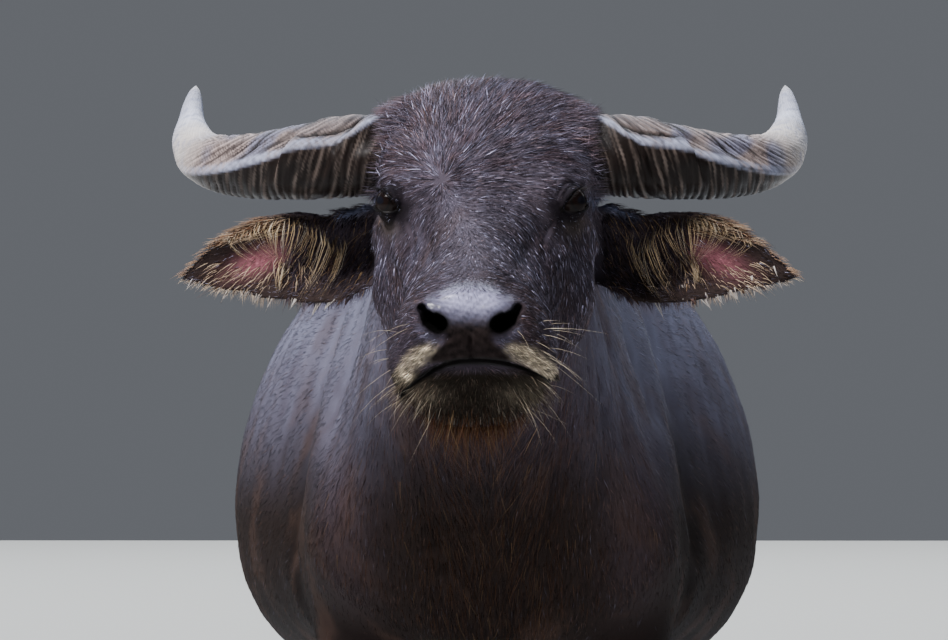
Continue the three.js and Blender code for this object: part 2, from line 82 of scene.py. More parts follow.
def columns(*parts: Array | float) -> Array:
    """Puts columns and constants side by side, so that each point has a row."""
    return np.stack(np.broadcast_arrays(*parts), 1)


def dot(a: Array, b: Array) -> Array:
    """The dot product of each row of one array with the same row of another, as a column."""
    return (a * b).sum(1)[:, None]


def curve_through(pairs: Sequence[tuple[float, float]], at: Array) -> Array:
    """A smooth curve through pairs of position and value, read at many places.

    Args:
        pairs: the curve's points, in rising order of position.
        at: the places to read.

    Returns:
        The curve's value at each place, flat beyond both ends.
    """
    x, y = np.array(pairs, float).T
    slope = np.gradient(y, x)
    place = np.clip(at, x[0], x[-1])
    i = np.clip(np.searchsorted(x, place, side="right") - 1, 0, len(x) - 2)
    width = x[i + 1] - x[i]
    t = (place - x[i]) / width
    h00, h10 = 2 * t**3 - 3 * t**2 + 1, t**3 - 2 * t**2 + t
    h01, h11 = 3 * t**2 - 2 * t**3, t**3 - t**2
    return h00 * y[i] + h10 * width * slope[i] + h01 * y[i + 1] + h11 * width * slope[i + 1]


def along_path(points: Array, path: Array) -> tuple[Array, Array]:
    """Finds where many points lie beside a path of straight stretches.

    Args:
        points: the points, one row each, in as many dimensions as the path.
        path: the path's corners, one row each.

    Returns:
        Each point's distance from the path, and its nearest place on it from 0 to 1.
    """
    nearest = np.full(len(points), np.inf)
    place = np.zeros(len(points))
    lengths = np.linalg.norm(np.diff(path, axis=0), axis=1)
    total, gone = lengths.sum(), 0.0
    for start, end, length in zip(path[:-1], path[1:], lengths):
        t = np.clip((points - start) @ (end - start) / length**2, 0, 1)
        distance = np.linalg.norm(points - start - t[:, None] * (end - start), axis=1)
        closer = distance < nearest
        nearest[closer] = distance[closer]
        place[closer] = (gone + t[closer] * length) / total
        gone += length
    return nearest, place


class Kind(Enum):
    """What an attribute of a mesh's points holds, by Blender's names for it."""

    NUMBER = ("FLOAT", "value")
    VECTOR = ("FLOAT_VECTOR", "vector")
    COLOUR = ("FLOAT_COLOR", "color")

    def store(self, mesh: bpy.types.Mesh, name: str, values: Array) -> None:
        """Adds an attribute of this kind to a mesh.

        Args:
            mesh: the mesh.
            name: the attribute's name.
            values: a number, or a row of three, for each of the mesh's points.
        """
        kind, key = self.value
        if self is Kind.COLOUR:
            values = np.concatenate([values, np.ones((len(values), 1))], 1)
        made = mesh.attributes.new(name, kind, "POINT")
        made.data.foreach_set(key, values.astype(np.float32).ravel())


def linked(name: str, data: bpy.types.ID) -> bpy.types.Object:
    """Makes an object and puts it into the scene.

    Args:
        name: the object's name.
        data: its mesh, light or camera.

    Returns:
        The object.
    """
    made = bpy.data.objects.new(name, data)
    bpy.context.scene.collection.objects.link(made)
    return made


def settled(piece: bpy.types.Object) -> bpy.types.Mesh:
    """Makes a plain mesh of an object with its modifiers, and removes the object.

    Args:
        piece: an object in the scene.

    Returns:
        The mesh.
    """
    evaluated = piece.evaluated_get(bpy.context.evaluated_depsgraph_get())
    mesh = bpy.data.meshes.new_from_object(evaluated)
    bpy.data.objects.remove(piece)
    return mesh


def from_bmesh(name: str, bm: bmesh.types.BMesh) -> bpy.types.Mesh:
    """Makes a mesh of a finished bmesh, and frees the bmesh.

    Args:
        name: the mesh's name.
        bm: the bmesh.

    Returns:
        The mesh.
    """
    mesh = bpy.data.meshes.new(name)
    bm.to_mesh(mesh)
    bm.free()
    return mesh


# The animal's layout


@dataclass(frozen=True)
class Layout:
    """Millimetres with y = 0 at the forelegs and z = 0 at the floor, as the sizes below are given.

    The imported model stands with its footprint's middle at the origin, so the eyes say how far
    the layout is from it.
    """

    eye_y: float = -835.89
    head_turn: float = math.radians(2)
    head_pivot_y: float = -650
    turn_start_y: float = -450
    turn_full_y: float = -700
    shift: float = field(init=False)

    def __post_init__(self) -> None:
        """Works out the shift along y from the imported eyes."""
        eyes = [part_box(f"eye_{side}") for side in ("left", "right")]
        middle = sum((low.y + high.y) / 4 for low, high in eyes)
        object.__setattr__(self, "shift", self.eye_y - middle / MM)

    def from_frame(self, points: Array) -> Array:
        """Metres in the frame to layout millimetres."""
        return points / MM + vec(0, self.shift, 0)

    def to_frame(self, points: Array) -> Array:
        """Layout millimetres to metres in the frame."""
        return (points - vec(0, self.shift, 0)) * MM

    def turned(self, points: Array, back: bool = False, share: Array | float | None = None) -> Array:
        """Turns points with the head, or back to where the head looks straight along -y.

        Args:
            points: layout points.
            back: whether to undo the turn.
            share: how much of the turn each point takes; worked out from y if left out.

        Returns:
            The turned points.
        """
        if share is None:
            share = smooth(points[:, 1], self.turn_start_y, self.turn_full_y)
        angle = self.head_turn * np.asarray(share) * (-1 if back else 1)
        c, s = np.cos(angle), np.sin(angle)
        x, y = points[:, 0], points[:, 1] - self.head_pivot_y
        return np.stack([x * c + y * s, self.head_pivot_y + y * c - x * s, points[:, 2]], 1)


LAYOUT = Layout()


@dataclass
class Shell:
    """A mesh as arrays: layout points and faces, which are all triangles or all quads."""

    points: Array
    faces: Array

    @classmethod
    def of(cls, mesh: bpy.types.Mesh) -> "Shell":
        """Reads a Blender mesh of triangles or of quads, in metres.

        Args:
            mesh: a Blender mesh in metres, all of triangles or all of quads.

        Returns:
            The shell.
        """
        points = np.empty(len(mesh.vertices) * 3)
        mesh.vertices.foreach_get("co", points)
        corners = np.empty(len(mesh.loops), np.int32)
        mesh.loops.foreach_get("vertex_index", corners)
        sides = len(corners) // len(mesh.polygons)
        return cls(LAYOUT.from_frame(points.reshape(-1, 3)), corners.reshape(-1, sides))

    @classmethod
    def of_node(cls, name: str) -> "Shell":
        """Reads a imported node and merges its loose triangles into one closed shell.

        Args:
            name: the node's name.

        Returns:
            The shell, of triangles.
        """
        loose = cls.of(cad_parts[name].data)
        _, first, same = np.unique(
            np.round(loose.points, 2), axis=0, return_index=True, return_inverse=True
        )
        faces = same.reshape(-1)[loose.faces]
        whole = (faces != np.roll(faces, 1, axis=1)).all(1)
        return cls(loose.points[first], faces[whole])

    @classmethod
    def joined(cls, shells: Sequence["Shell"]) -> "Shell":
        """Puts several shells of like faces side by side in one.

        Args:
            shells: the shells, all of triangles or all of quads.

        Returns:
            The one shell.
        """
        starts = np.cumsum([0] + [len(s.points) for s in shells[:-1]])
        return cls(
            np.concatenate([s.points for s in shells]),
            np.concatenate([s.faces + start for s, start in zip(shells, starts)]),
        )

    @classmethod
    def lofted(cls, rings: Array, ends: Array, flipped: bool = False) -> "Shell":
        """Joins rings of points, and closes both ends with fans.

        Args:
            rings: the points, by ring and by place round it.
            ends: the middles of the first and of the last fan.
            flipped: whether the faces are wound the other way.

        Returns:
            A closed shell of triangles, in which the two middles are the last points.
        """
        count, around, _ = rings.shape
        number = np.arange(count * around).reshape(count, around)
        a, b = number[:-1], number[1:]
        c, d = np.roll(b, -1, 1), np.roll(a, -1, 1)
        quads = np.stack([a, b, c, d], -1).reshape(-1, 4)
        first = columns(count * around, number[0], np.roll(number[0], -1))
        last = columns(count * around + 1, np.roll(number[-1], -1), number[-1])
        if flipped:
            quads, first, last = quads[:, ::-1], first[:, [0, 2, 1]], last[:, [0, 2, 1]]
        points = np.concatenate([rings.reshape(-1, 3), ends])
        return cls(points, np.concatenate([quads[:, [0, 1, 2]], quads[:, [0, 2, 3]], first, last]))

    def mesh(self, name: str) -> bpy.types.Mesh:
        """Makes a smooth-shaded Blender mesh in metres.

        Args:
            name: the mesh's name.

        Returns:
            The mesh.
        """
        mesh = bpy.data.meshes.new(name)
        count, sides = self.faces.shape
        mesh.vertices.add(len(self.points))
        mesh.vertices.foreach_set("co", LAYOUT.to_frame(self.points).astype(np.float32).ravel())
        mesh.loops.add(count * sides)
        mesh.loops.foreach_set("vertex_index", self.faces.astype(np.int32).ravel())
        mesh.polygons.add(count)
        mesh.polygons.foreach_set("loop_start", np.arange(0, count * sides, sides, dtype=np.int32))
        mesh.update(calc_edges=True)
        mesh.polygons.foreach_set("use_smooth", np.ones(count, bool))
        return mesh

    def normals(self) -> Array:
        """The outward unit normal at each point.

        Returns:
            A row for each point.
        """
        a, b, c = (self.points[self.faces[:, i]] for i in (0, 1, 2))
        face = np.cross(b - a, c - a)
        if self.faces.shape[1] == 4:
            face += np.cross(c - a, self.points[self.faces[:, 3]] - a)
        sides = self.faces.shape[1]
        return unit(gathered(self.faces.ravel(), np.repeat(face, sides, 0), len(self.points)))

    def edges(self) -> Array:
        """Each pair of neighbouring points once, the lower number first."""
        pairs = np.stack([self.faces, np.roll(self.faces, -1, axis=1)], 2).reshape(-1, 2)
        return np.unique(np.sort(pairs, axis=1), axis=0)

    def relaxed(self, reach: Array | float, step: float = 0.85) -> "Shell":
        """Smooths the shell, and adds back what that takes off its large forms.

        Args:
            reach: how far each point's smoothing spreads, in millimetres.
            step: how far a point moves to its neighbours' mean in one pass.

        Returns:
            The smoothed shell.
        """
        edges = self.edges()
        spacing = np.linalg.norm(np.diff(self.points[edges], axis=1)[:, 0], axis=1)
        around = np.bincount(edges.ravel(), minlength=len(self.points)).astype(float)
        size = np.bincount(edges.ravel(), np.repeat(spacing, 2), len(self.points)) / around
        wanted = 2 * (reach / size) ** 2 / step
        passes = max(1, int(math.ceil(np.quantile(wanted, 0.98))))
        share = (step * np.minimum(wanted / passes, 1))[:, None]
        soft = averaged(self.points, edges, share, passes)
        return Shell(soft + averaged(self.points - soft, edges, share, passes), self.faces)

    def voxelled(self, size: float) -> "Shell":
        """Covers whatever the shell encloses with one closed skin of quads.

        Args:
            size: the side of a voxel, in millimetres.

        Returns:
            The skin.
        """
        piece = linked("voxelled", self.mesh("voxelled"))
        remesh = piece.modifiers.new("voxels", "REMESH")
        remesh.mode = "VOXEL"
        remesh.voxel_size = size * MM
        return Shell.of(settled(piece))

    def outward(self) -> "Shell":
        """Turns a closed shell of triangles right side out, if it is inside out.

        Returns:
            The shell, with its faces outward.
        """
        a, b, c = (self.points[self.faces[:, i]] for i in range(3))
        volume = (a * np.cross(b, c)).sum()
        return self if volume > 0 else Shell(self.points, self.faces[:, ::-1])

    def triangles(self) -> "Shell":
        """Splits each quad along its shorter diagonal.

        Returns:
            The shell of triangles.
        """
        if self.faces.shape[1] == 3:
            return self
        a, b, c, d = self.faces.T
        p = self.points
        other = np.linalg.norm(p[b] - p[d], axis=1) < np.linalg.norm(p[a] - p[c], axis=1)
        first = np.where(other[:, None], np.stack([a, b, d], 1), np.stack([a, b, c], 1))
        second = np.where(other[:, None], np.stack([b, c, d], 1), np.stack([a, c, d], 1))
        return Shell(p, np.concatenate([first, second]))

    def largest(self) -> "Shell":
        """Keeps only the connected part with the most points.

        Returns:
            That part.
        """
        edges = self.edges()
        label = np.arange(len(self.points))
        while True:
            low = np.minimum(label[edges[:, 0]], label[edges[:, 1]])
            new = label.copy()
            np.minimum.at(new, edges[:, 0], low)
            np.minimum.at(new, edges[:, 1], low)
            new = new[new]
            if np.array_equal(new, label):
                break
            label = new
        kept = label == np.bincount(label).argmax()
        number = np.cumsum(kept) - 1
        return Shell(self.points[kept], number[self.faces[kept[self.faces].all(1)]])

    def refined(self, longest: Callable[[Array], Array]) -> "Shell":
        """Splits the edges of a triangle shell that are longer than allowed where they lie.

        Args:
            longest: gives the longest allowed edge at each of many points.

        Returns:
            The shell with each marked edge split once.
        """
        edges = self.edges()
        ends = self.points[edges]
        middle = ends.mean(1)
        marked = np.linalg.norm(ends[:, 0] - ends[:, 1], axis=1) > longest(middle)
        number = np.full(len(edges), -1)
        number[marked] = len(self.points) + np.arange(marked.sum())
        key = edges[:, 0] * len(self.points) + edges[:, 1]
        sides = np.stack([self.faces, np.roll(self.faces, -1, axis=1)], 2)
        sides.sort(axis=2)
        split = number[np.searchsorted(key, sides[..., 0] * len(self.points) + sides[..., 1])]
        made = []
        for pattern in range(8):
            rows = ((split >= 0) @ np.array([1, 2, 4])) == pattern
            made += split_triangles(self.faces[rows], split[rows], pattern)
        return Shell(np.concatenate([self.points, middle[marked]]), np.concatenate(made))


def gathered(index: Array, values: Array, count: int) -> Array:
    """Sums rows of values into count rows, by index."""
    return np.stack([np.bincount(index, column, count) for column in values.T], 1)


def averaged(values: Array, edges: Array, share: Array | float, passes: int) -> Array:
    """Draws each point's values towards the mean of its neighbours' values.

    Args:
        values: a row for each point.
        edges: the pairs of neighbours.
        share: how far the values go in one pass.
        passes: how many times it is done.

    Returns:
        The new values.
    """
    around = np.bincount(edges.ravel(), minlength=len(values))[:, None]
    for _ in range(passes):
        total = gathered(edges[:, 0], values[edges[:, 1]], len(values))
        total += gathered(edges[:, 1], values[edges[:, 0]], len(values))
        values = values + share * (total / around - values)
    return values


def split_triangles(faces: Array, split: Array, pattern: int) -> list[Array]:
    """Splits triangles that share one pattern of marked sides.

    Args:
        faces: the corners of each triangle.
        split: the new point on each side, of corner to next corner, or -1.
        pattern: which sides are marked, as the sum of 1, 2 and 4.

    Returns:
        Lists of new triangles.
    """
    turns = {1: 0, 2: 1, 4: 2, 3: 0, 6: 1, 5: 2, 0: 0, 7: 0}[pattern]
    a, b, c = np.roll(faces, -turns, axis=1).T
    ab, bc, ca = np.roll(split, -turns, axis=1).T
    rows = {
        0: [(a, b, c)],
        1: [(a, ab, c), (ab, b, c)],
        2: [(a, ab, c), (ab, b, bc), (ab, bc, c)],
        3: [(a, ab, ca), (ab, b, bc), (ca, bc, c), (ab, bc, ca)],
    }[bin(pattern).count("1")]
    return [np.stack(row, 1) for row in rows]


# Skin


@dataclass
class Stretch:
    """A growth of space along one axis: none above start, and full below full."""

    start: float
    full: float
    end: float
    scale: float

    def __post_init__(self) -> None:
        """Tabulates the growth and the grown place."""
        self.place = np.linspace(self.end, self.start, 4000)
        self.growth = 1 + (self.scale - 1) * smooth(self.place, self.start, self.full)
        steps = np.diff(self.place) * (self.growth[1:] + self.growth[:-1]) / 2
        self.grown = self.start - np.append(np.cumsum(steps[::-1])[::-1], 0)

    def forward(self, at: Array) -> tuple[Array, Array]:
        """The growth at each place, and the grown place."""
        grown = np.where(at < self.start, np.interp(at, self.place, self.grown), at)
        return np.interp(at, self.place, self.growth), grown

    def back(self, grown: Array) -> tuple[Array, Array]:
        """The growth at each grown place, and the place it came from."""
        at = np.where(grown < self.start, np.interp(grown, self.grown, self.place), grown)
        return np.interp(at, self.place, self.growth), at


@dataclass(frozen=True)
class StretchedSpace:
    """A space in which the head and the lower legs are larger, so that one voxel size fits all."""

    head: Stretch = field(default_factory=lambda: Stretch(-180, -600, -1400, 3.5))
    legs: Stretch = field(default_factory=lambda: Stretch(545, 425, -60, 1.85))
    head_level: float = 1150

    def stretched(self, points: Array) -> Array:
        """Moves layout points into the stretched space.

        Args:
            points: layout points.

        Returns:
            The moved points.
        """
        level = vec(0, 0, self.head_level)
        grow, y = self.head.forward(points[:, 1])
        moved = (points - level) * grow[:, None] + level
        moved[:, 1] = y
        legs = points[:, 1] > self.head.start
        grow, z = self.legs.forward(moved[:, 2])
        middle = self.leg_middle(moved)
        moved[:, :2] = middle + (moved[:, :2] - middle) * np.where(legs, grow, 1)[:, None]
        moved[:, 2] = np.where(legs, z, moved[:, 2])
        return moved

    @staticmethod
    def leg_middle(points: Array) -> Array:
        """The upright axis of the leg that each point is nearest to."""
        x = np.where(points[:, 0] > 0, 160, -160)
        return np.stack([x, np.where(points[:, 1] > 500, 1150, 0)], 1)

    def restored(self, points: Array) -> Array:
        """Moves points of the stretched space back into the layout.

        Args:
            points: points of the stretched space.

        Returns:
            The layout points.
        """
        level = vec(0, 0, self.head_level)
        grow, z = self.legs.back(points[:, 2])
        moved = points.copy()
        legs = points[:, 1] > self.head.start
        middle = self.leg_middle(points)
        moved[:, :2] = middle + (points[:, :2] - middle) / np.where(legs, grow, 1)[:, None]
        moved[:, 2] = np.where(legs, z, moved[:, 2])
        grow, y = self.head.back(moved[:, 1])
        moved = (moved - level) / grow[:, None] + level
        moved[:, 1] = y
        return moved


@dataclass
class BaseSkin:
    """The bare, smooth form of the body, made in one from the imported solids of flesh."""

    voxel: float = 16.8
    swelling: float = 1.2
    ear_swelling: float = 2.2
    tail_swelling: float = 9
    horn_plug_x: float = 108
    dewclaw_ball: float = 15
    space: StretchedSpace = field(default_factory=StretchedSpace)

    FLESH = (
        "head", "jaw", "neck", "trunk", "tail", "ear_left", "ear_right",
        "foreleg_left", "foreleg_right", "hindleg_left", "hindleg_right",
    )

    def swollen(self, name: str) -> Shell:
        """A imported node, pushed out enough to close the gaps between the solids.

        Args:
            name: the node's name.

        Returns:
            The grown shell.
        """
        shell = Shell.of_node(name)
        by = {"ear": self.ear_swelling, "tail": self.tail_swelling}.get(name[:4].strip("_"), self.swelling)
        return Shell(shell.points + by * shell.normals(), shell.faces)

    def horn_plug(self, side: str) -> Shell:
        """The root of a horn up to the skin, which fills its socket.

        Args:
            side: left or right.

        Returns:
            The closed root.
        """
        shell = self.swollen(f"horn_{side}")
        bm = bmesh.new()
        bm.from_mesh(shell.mesh("horn_root"))
        sign = 1 if side == "left" else -1
        bmesh.ops.bisect_plane(
            bm, geom=bm.verts[:] + bm.edges[:] + bm.faces[:], clear_outer=True,
            plane_co=(sign * self.horn_plug_x * MM, 0, 0), plane_no=(sign, 0, 0),
        )
        bmesh.ops.holes_fill(bm, edges=bm.edges[:], sides=0)
        bmesh.ops.triangulate(bm, faces=bm.faces[:])
        return Shell.of(from_bmesh("horn_plug", bm))

    def dewclaw_plug(self, name: str) -> Shell:
        """A ball that fills a dewclaw's seat in the leg.

        Args:
            name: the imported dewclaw.

        Returns:
            The ball.
        """
        claw = Shell.of_node(name).points
        root = claw[claw[:, 2] > np.quantile(claw[:, 2], 0.7)].mean(0)
        bm = bmesh.new()
        bmesh.ops.create_icosphere(bm, subdivisions=2, radius=self.dewclaw_ball * MM)
        ball = Shell.of(from_bmesh("dewclaw_plug", bm))
        return Shell(ball.points - vec(0, LAYOUT.shift, 0) + root + vec(0, -4, 0), ball.faces)

    def build(self) -> Shell:
        """Joins the flesh in the stretched space and brings it back.

        Returns:
            A closed shell of quads with coarse facets still in it.
        """
        parts = [self.swollen(name) for name in self.FLESH]
        parts += [self.swollen(f"eye_{side}") for side in ("left", "right")]
        parts += [self.horn_plug(side) for side in ("left", "right")]
        parts += [self.dewclaw_plug(name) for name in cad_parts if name.startswith("dewclaw")]
        whole = Shell.joined(parts)
        whole.points = self.space.stretched(whole.points)
        made = whole.voxelled(self.voxel).largest()
        return Shell(self.space.restored(made.points), made.faces)

    def reach(self, points: Array) -> Array:
        """How far the smoothing spreads at each point.

        Args:
            points: layout points.

        Returns:
            The reach at each, in millimetres.
        """
        x, y, z = points.T
        face = smooth(y, -560, -700)
        reach = 30 - 20.5 * face
        ear = smooth(np.abs(x), 118, 150) * face
        reach += (6 - reach) * ear
        legs = smooth(z, 700, 480) * smooth(y, -200, -150)
        reach += (12 - reach) * legs
        tail = smooth(y, 1180, 1215)
        return reach + (9 - reach) * tail

    def smoothed(self) -> Shell:
        """Builds the form, takes the facets out and makes triangles of it."""
        rough = self.build()
        return rough.relaxed(self.reach(rough.points)).triangles()


@dataclass(frozen=True)
class Ridge:
    """A long swelling of the skin along a path, or a groove where the height is negative."""

    path: tuple[tuple[float, float, float], ...]
    reach: float
    height: float
    mirrored: bool = True


HEAD_RIDGES = (
    # facial crest and the hollow over it
    Ridge(((98, -862, 1146), (88, -925, 1112), (82, -990, 1078)), 13, 4.5),
    Ridge(((74, -880, 1176), (62, -940, 1150), (52, -1000, 1126)), 15, -4),
    # brow, temple and cheekbone
    Ridge(((82, -862, 1228), (106, -836, 1242), (124, -806, 1234)), 13, 5),
    Ridge(((125, -775, 1214), (126, -735, 1200)), 17, -6),
    Ridge(((124, -806, 1182), (124, -760, 1168), (122, -715, 1156)), 11, 5),
    Ridge(((122, -740, 1232), (112, -700, 1216)), 10, 4),
    # cheek muscle and the edge of the jaw
    Ridge(((110, -790, 1105), (108, -735, 1075)), 34, 6),
    Ridge(((92, -860, 1085), (90, -840, 1040), (84, -820, 1000)), 12, -3.5),
    Ridge(((118, -680, 1120), (110, -668, 1070), (100, -660, 1020)), 14, -6),
    # tear groove and folds under the eye
    Ridge(((88, -868, 1182), (80, -888, 1160), (74, -905, 1136)), 4, -2),
    # upper lip, lower lip and chin
    Ridge(((30, -1106, 1034), (60, -1098, 1028), (86, -1078, 1012)), 13, 4),
    Ridge(((-60, -1084, 982), (0, -1096, 1000), (62, -1086, 988)), 9, 3.5, False),
    Ridge(((-24, -1078, 966), (24, -1078, 966)), 20, 4, False),
    Ridge(((88, -1072, 988), (92, -1036, 984), (88, -990, 984)), 4.5, -3.5),
    Ridge(((84, -1066, 975), (86, -1030, 968)), 8, 3),
    # wings of the nose, dip between the nostrils and the crease over the lip
    Ridge(((-30, -1112, 1096), (30, -1112, 1096)), 15, 3, False),
    Ridge(((66, -1104, 1080), (66, -1108, 1062), (54, -1118, 1050)), 8, 2.6),
    Ridge(((-80, -1068, 990), (-80, -1066, 986)), 6, 4, False),
    Ridge(((20, -1124, 1078), (36, -1118, 1078), (46, -1110, 1082)), 6, 2.2),
    Ridge(((98, -1062, 1002), (98, -1060, 998)), 6, 4, False),
    Ridge(((2, -1128, 1066), (2, -1126, 1044)), 8, -1.5, False),
    Ridge(((24, -1128, 1044), (44, -1120, 1044), (62, -1112, 1048)), 4, -1.6),
    # the web of skin from the ear's root up to the temple
    Ridge(((168, -690, 1190), (142, -698, 1202), (122, -702, 1212)), 9, 9),
    # hollow between the eyes
    Ridge(((-30, -870, 1228), (30, -870, 1228)), 30, -3, False),
)

NECK_RIDGES = (
    Ridge(((116, -610, 1240), (120, -520, 1180), (128, -430, 1090), (120, -330, 960)), 12, -6),
    Ridge(((126, -560, 1150), (134, -470, 1060), (130, -390, 960)), 9, -4.5),
    Ridge(((120, -470, 1220), (150, -380, 1150), (178, -290, 1050)), 14, -5),
    Ridge(((112, -590, 1080), (112, -540, 1010), (96, -480, 945)), 9, -4),
    Ridge(((108, -630, 1050), (98, -600, 990), (70, -570, 955)), 8, -3.5),
    Ridge(((14, -640, 985), (18, -480, 905), (14, -330, 790), (10, -240, 710)), 9, 5),
    Ridge(((104, -430, 940), (108, -380, 840), (108, -330, 740)), 17, -11),
    Ridge(((174, -300, 850), (178, -280, 800)), 32, 11),
)

BODY_RIDGES = (
    # shoulder blade with its spine, the groove behind it, and the point of the shoulder
    Ridge(((150, 60, 1250), (205, 0, 1090), (235, -70, 940)), 55, 9),
    Ridge(((190, 175, 1230), (250, 160, 1080), (270, 120, 930), (240, 100, 800)), 40, -8),
    Ridge(((215, -120, 900), (225, -60, 850), (215, 0, 790)), 34, 9),
    Ridge(((205, -140, 1060), (215, -120, 980)), 26, -6),
    # hooks, pins, thigh and the hollow of the flank
    Ridge(((190, 800, 1262), (210, 815, 1235)), 34, 15),
    Ridge(((75, 1170, 1180), (85, 1185, 1160)), 30, 10),
    Ridge(((215, 700, 1190), (235, 690, 1130)), 48, -14),
    Ridge(((150, 930, 1240), (130, 1050, 1220)), 34, -6),
    Ridge(((235, 960, 1080), (235, 1010, 930)), 70, 8),
    Ridge(((255, 850, 1000), (245, 830, 880), (215, 850, 760)), 28, -9),
    Ridge(((190, 1150, 1000), (180, 1150, 850)), 24, -5),
    Ridge(((0, -150, 1310), (0, 250, 1330), (0, 700, 1310)), 16, 4, False),
    # elbow and the fold in front of the stifle
    Ridge(((215, 110, 745), (205, 95, 700)), 24, 7),
    Ridge(((230, 790, 820), (235, 850, 740)), 22, 6),
)

LEG_RIDGES = (
    # foreleg: knee, tendons, fetlock
    Ridge(((160, -62, 430), (160, -62, 385)), 24, 5),
    Ridge(((116, 0, 420), (116, 0, 380)), 16, 4),
    Ridge(((206, 0, 420), (206, 0, 380)), 16, 4),
    Ridge(((122, 18, 350), (122, 16, 190)), 9, -4.5),
    Ridge(((198, 18, 350), (198, 16, 190)), 9, -4.5),
    Ridge(((160, 48, 160), (160, 48, 145)), 18, 4),
    Ridge(((135, -50, 600), (130, -54, 520)), 18, 4),
    # hindleg: hock, its point and hollows, tendons, fetlock
    Ridge(((160, 1238, 500), (160, 1236, 455)), 15, 5),
    Ridge(((120, 1205, 500), (118, 1190, 440)), 13, -5),
    Ridge(((202, 1205, 500), (200, 1190, 440)), 13, -5),
    Ridge(((122, 1178, 360), (122, 1172, 220)), 9, -4.5),
    Ridge(((196, 1178, 360), (196, 1172, 220)), 9, -4.5),
    Ridge(((160, 1196, 160), (160, 1194, 145)), 18, 4),
    Ridge(((130, 1150, 760), (140, 1190, 640), (155, 1225, 560)), 20, -6),
)


@dataclass
class Relief:
    """Swellings and grooves measured on a shell, each path laid on its surface first."""

    points: Array
    search: float = 45

    def height(self, ridges: Sequence[Ridge]) -> Array:
        """The summed height of ridges at every point.

        Args:
            ridges: the ridges and grooves.

        Returns:
            The height at each point.
        """
        total = np.zeros(len(self.points))
        for ridge in ridges:
            for sign in (1, -1) if ridge.mirrored else (1,):
                path = np.array(ridge.path, float) * vec(sign, 1, 1)
                here = self.points[self.close(path, self.search)]
                if not len(here):
                    continue
                path = np.stack([here[((here - place) ** 2).sum(1).argmin()] for place in path])
                close = self.close(path, 3 * ridge.reach)
                distance, _ = along_path(self.points[close], path)
                total[close] += ridge.height * bell(distance, ridge.reach)
        return total

    def close(self, path: Array, margin: float) -> Array:
        """The numbers of the points in the box round a path with a margin."""
        inside = (self.points > path.min(0) - margin) & (self.points < path.max(0) + margin)
        return np.flatnonzero(inside.all(1))


@dataclass(frozen=True)
class EyeSocket:
    """One eye's place in head space, its opening and its lids."""

    side: int
    radius: float = 20
    half_length: float = 19
    upper: float = 10.2
    lower: float = 9.6
    lid: float = 1.4
    sink: float = 3.5

    @property
    def centre(self) -> Array:
        """The middle of the ball."""
        return vec(101.6 * self.side, -834, 1202)

    @property
    def axes(self) -> Array:
        """Rows: along the opening to its outer corner, up, and out of the head.

        Returns:
            The three rows.
        """
        out = unit(vec(0.72 * self.side, -0.66, 0.2))
        along = vec(0.66 * self.side, 0.72, 0.34)
        along = unit(along - along @ out * out)
        up = np.cross(out, along)
        return np.stack([along, up * np.sign(up[2]), out])

    def local(self, points: Array) -> Array:
        """Places measured along the three axes from the middle of the ball."""
        return (points - self.centre) @ self.axes.T

    def edges(self, along: Array) -> tuple[Array, Array]:
        """The heights of the upper and the lower lid's edge.

        Args:
            along: places along the opening.

        Returns:
            The upper and the lower height at each.
        """
        share = np.clip(1 - (along / self.half_length) ** 2, 0, 1) ** 0.72
        middle = 0.09 * along
        return middle + self.upper * share, middle - self.lower * share

    def outside(self, points: Array) -> Array:
        """How far points lie outside the opening, seen along the axis.

        Args:
            points: points in head space.

        Returns:
            The distance, below 0 inside the opening.
        """
        along, up, _ = self.local(points).T
        high, low = self.edges(along)
        return np.maximum(np.maximum(up - high, low - up), 0.8 * (np.abs(along) - self.half_length))

    def near(self, points: Array) -> Array:
        """Which points belong to the skin round this eye."""
        local = self.local(points)
        return (np.linalg.norm(local, axis=1) < 75) & (local[:, 2] > -14)

    def shaped(self, points: Array, normals: Array) -> Array:
        """Lays lids round the ball, opens them and folds the skin about them.

        Args:
            points: the skin's points in head space.
            normals: its normals there.

        Returns:
            The moved points.
        """
        moved = points.copy()
        rows = self.near(points)
        here = points[rows]
        local = self.local(here)
        along, up, _ = local.T
        high, low = self.edges(along)
        natural = np.linalg.norm(local, axis=1)
        ray = unit(here - self.centre)
        gap = np.maximum(up - high, low - up)
        side = np.abs(along)
        hold = (1 - smooth(gap, 1, 15)) * (1 - smooth(side, 17, 27))
        far = natural + hold * (self.radius + self.lid - natural)
        rim = 0.3 * bell(gap - 1.6, 1.4) * (1 - smooth(side, 16, 26))
        far = np.where(gap > 0.5, np.maximum(far, self.radius + 1.3), far) + rim
        corner = smooth(side, 17, 22)
        inner = (self.radius - self.sink) * (1 - corner)
        inner += corner * (natural - 3.2 * (1 - smooth(side, 22, 31)))
        shut = smooth(gap, -0.9, 0.9)
        moved[rows] = self.centre + ray * (inner + shut * (far - inner))[:, None]
        above, below = np.maximum(up - high, 0), np.maximum(low - up, 0)
        fade = (1 - smooth(side, 8, 28))[:, None]
        fold = np.where(
            up > high,
            -2.6 * bell(above - 6.5, 1.7) + 1.6 * bell(above - 10, 2.6) - 2.4 * bell(above - 14.5, 1.9)
            + 1.4 * bell(above - 18, 2.6) - 1.6 * bell(above - 22.5, 1.9),
            np.where(
                up < low,
                -1.8 * bell(below - 5.5, 1.5) + 1.2 * bell(below - 8.5, 2.2)
                - 1.7 * bell(below - 12.5, 1.8) + 0.9 * bell(below - 16, 2.4)
                - 1.1 * bell(below - 20, 1.8), 0,
            ),
        )
        fold *= 0.62 * (0.75 + 0.45 * waves(here, 16, 61))
        moved[rows] += normals[rows] * fold[:, None] * fade * smooth(gap, 1, 3)[:, None]
        return moved


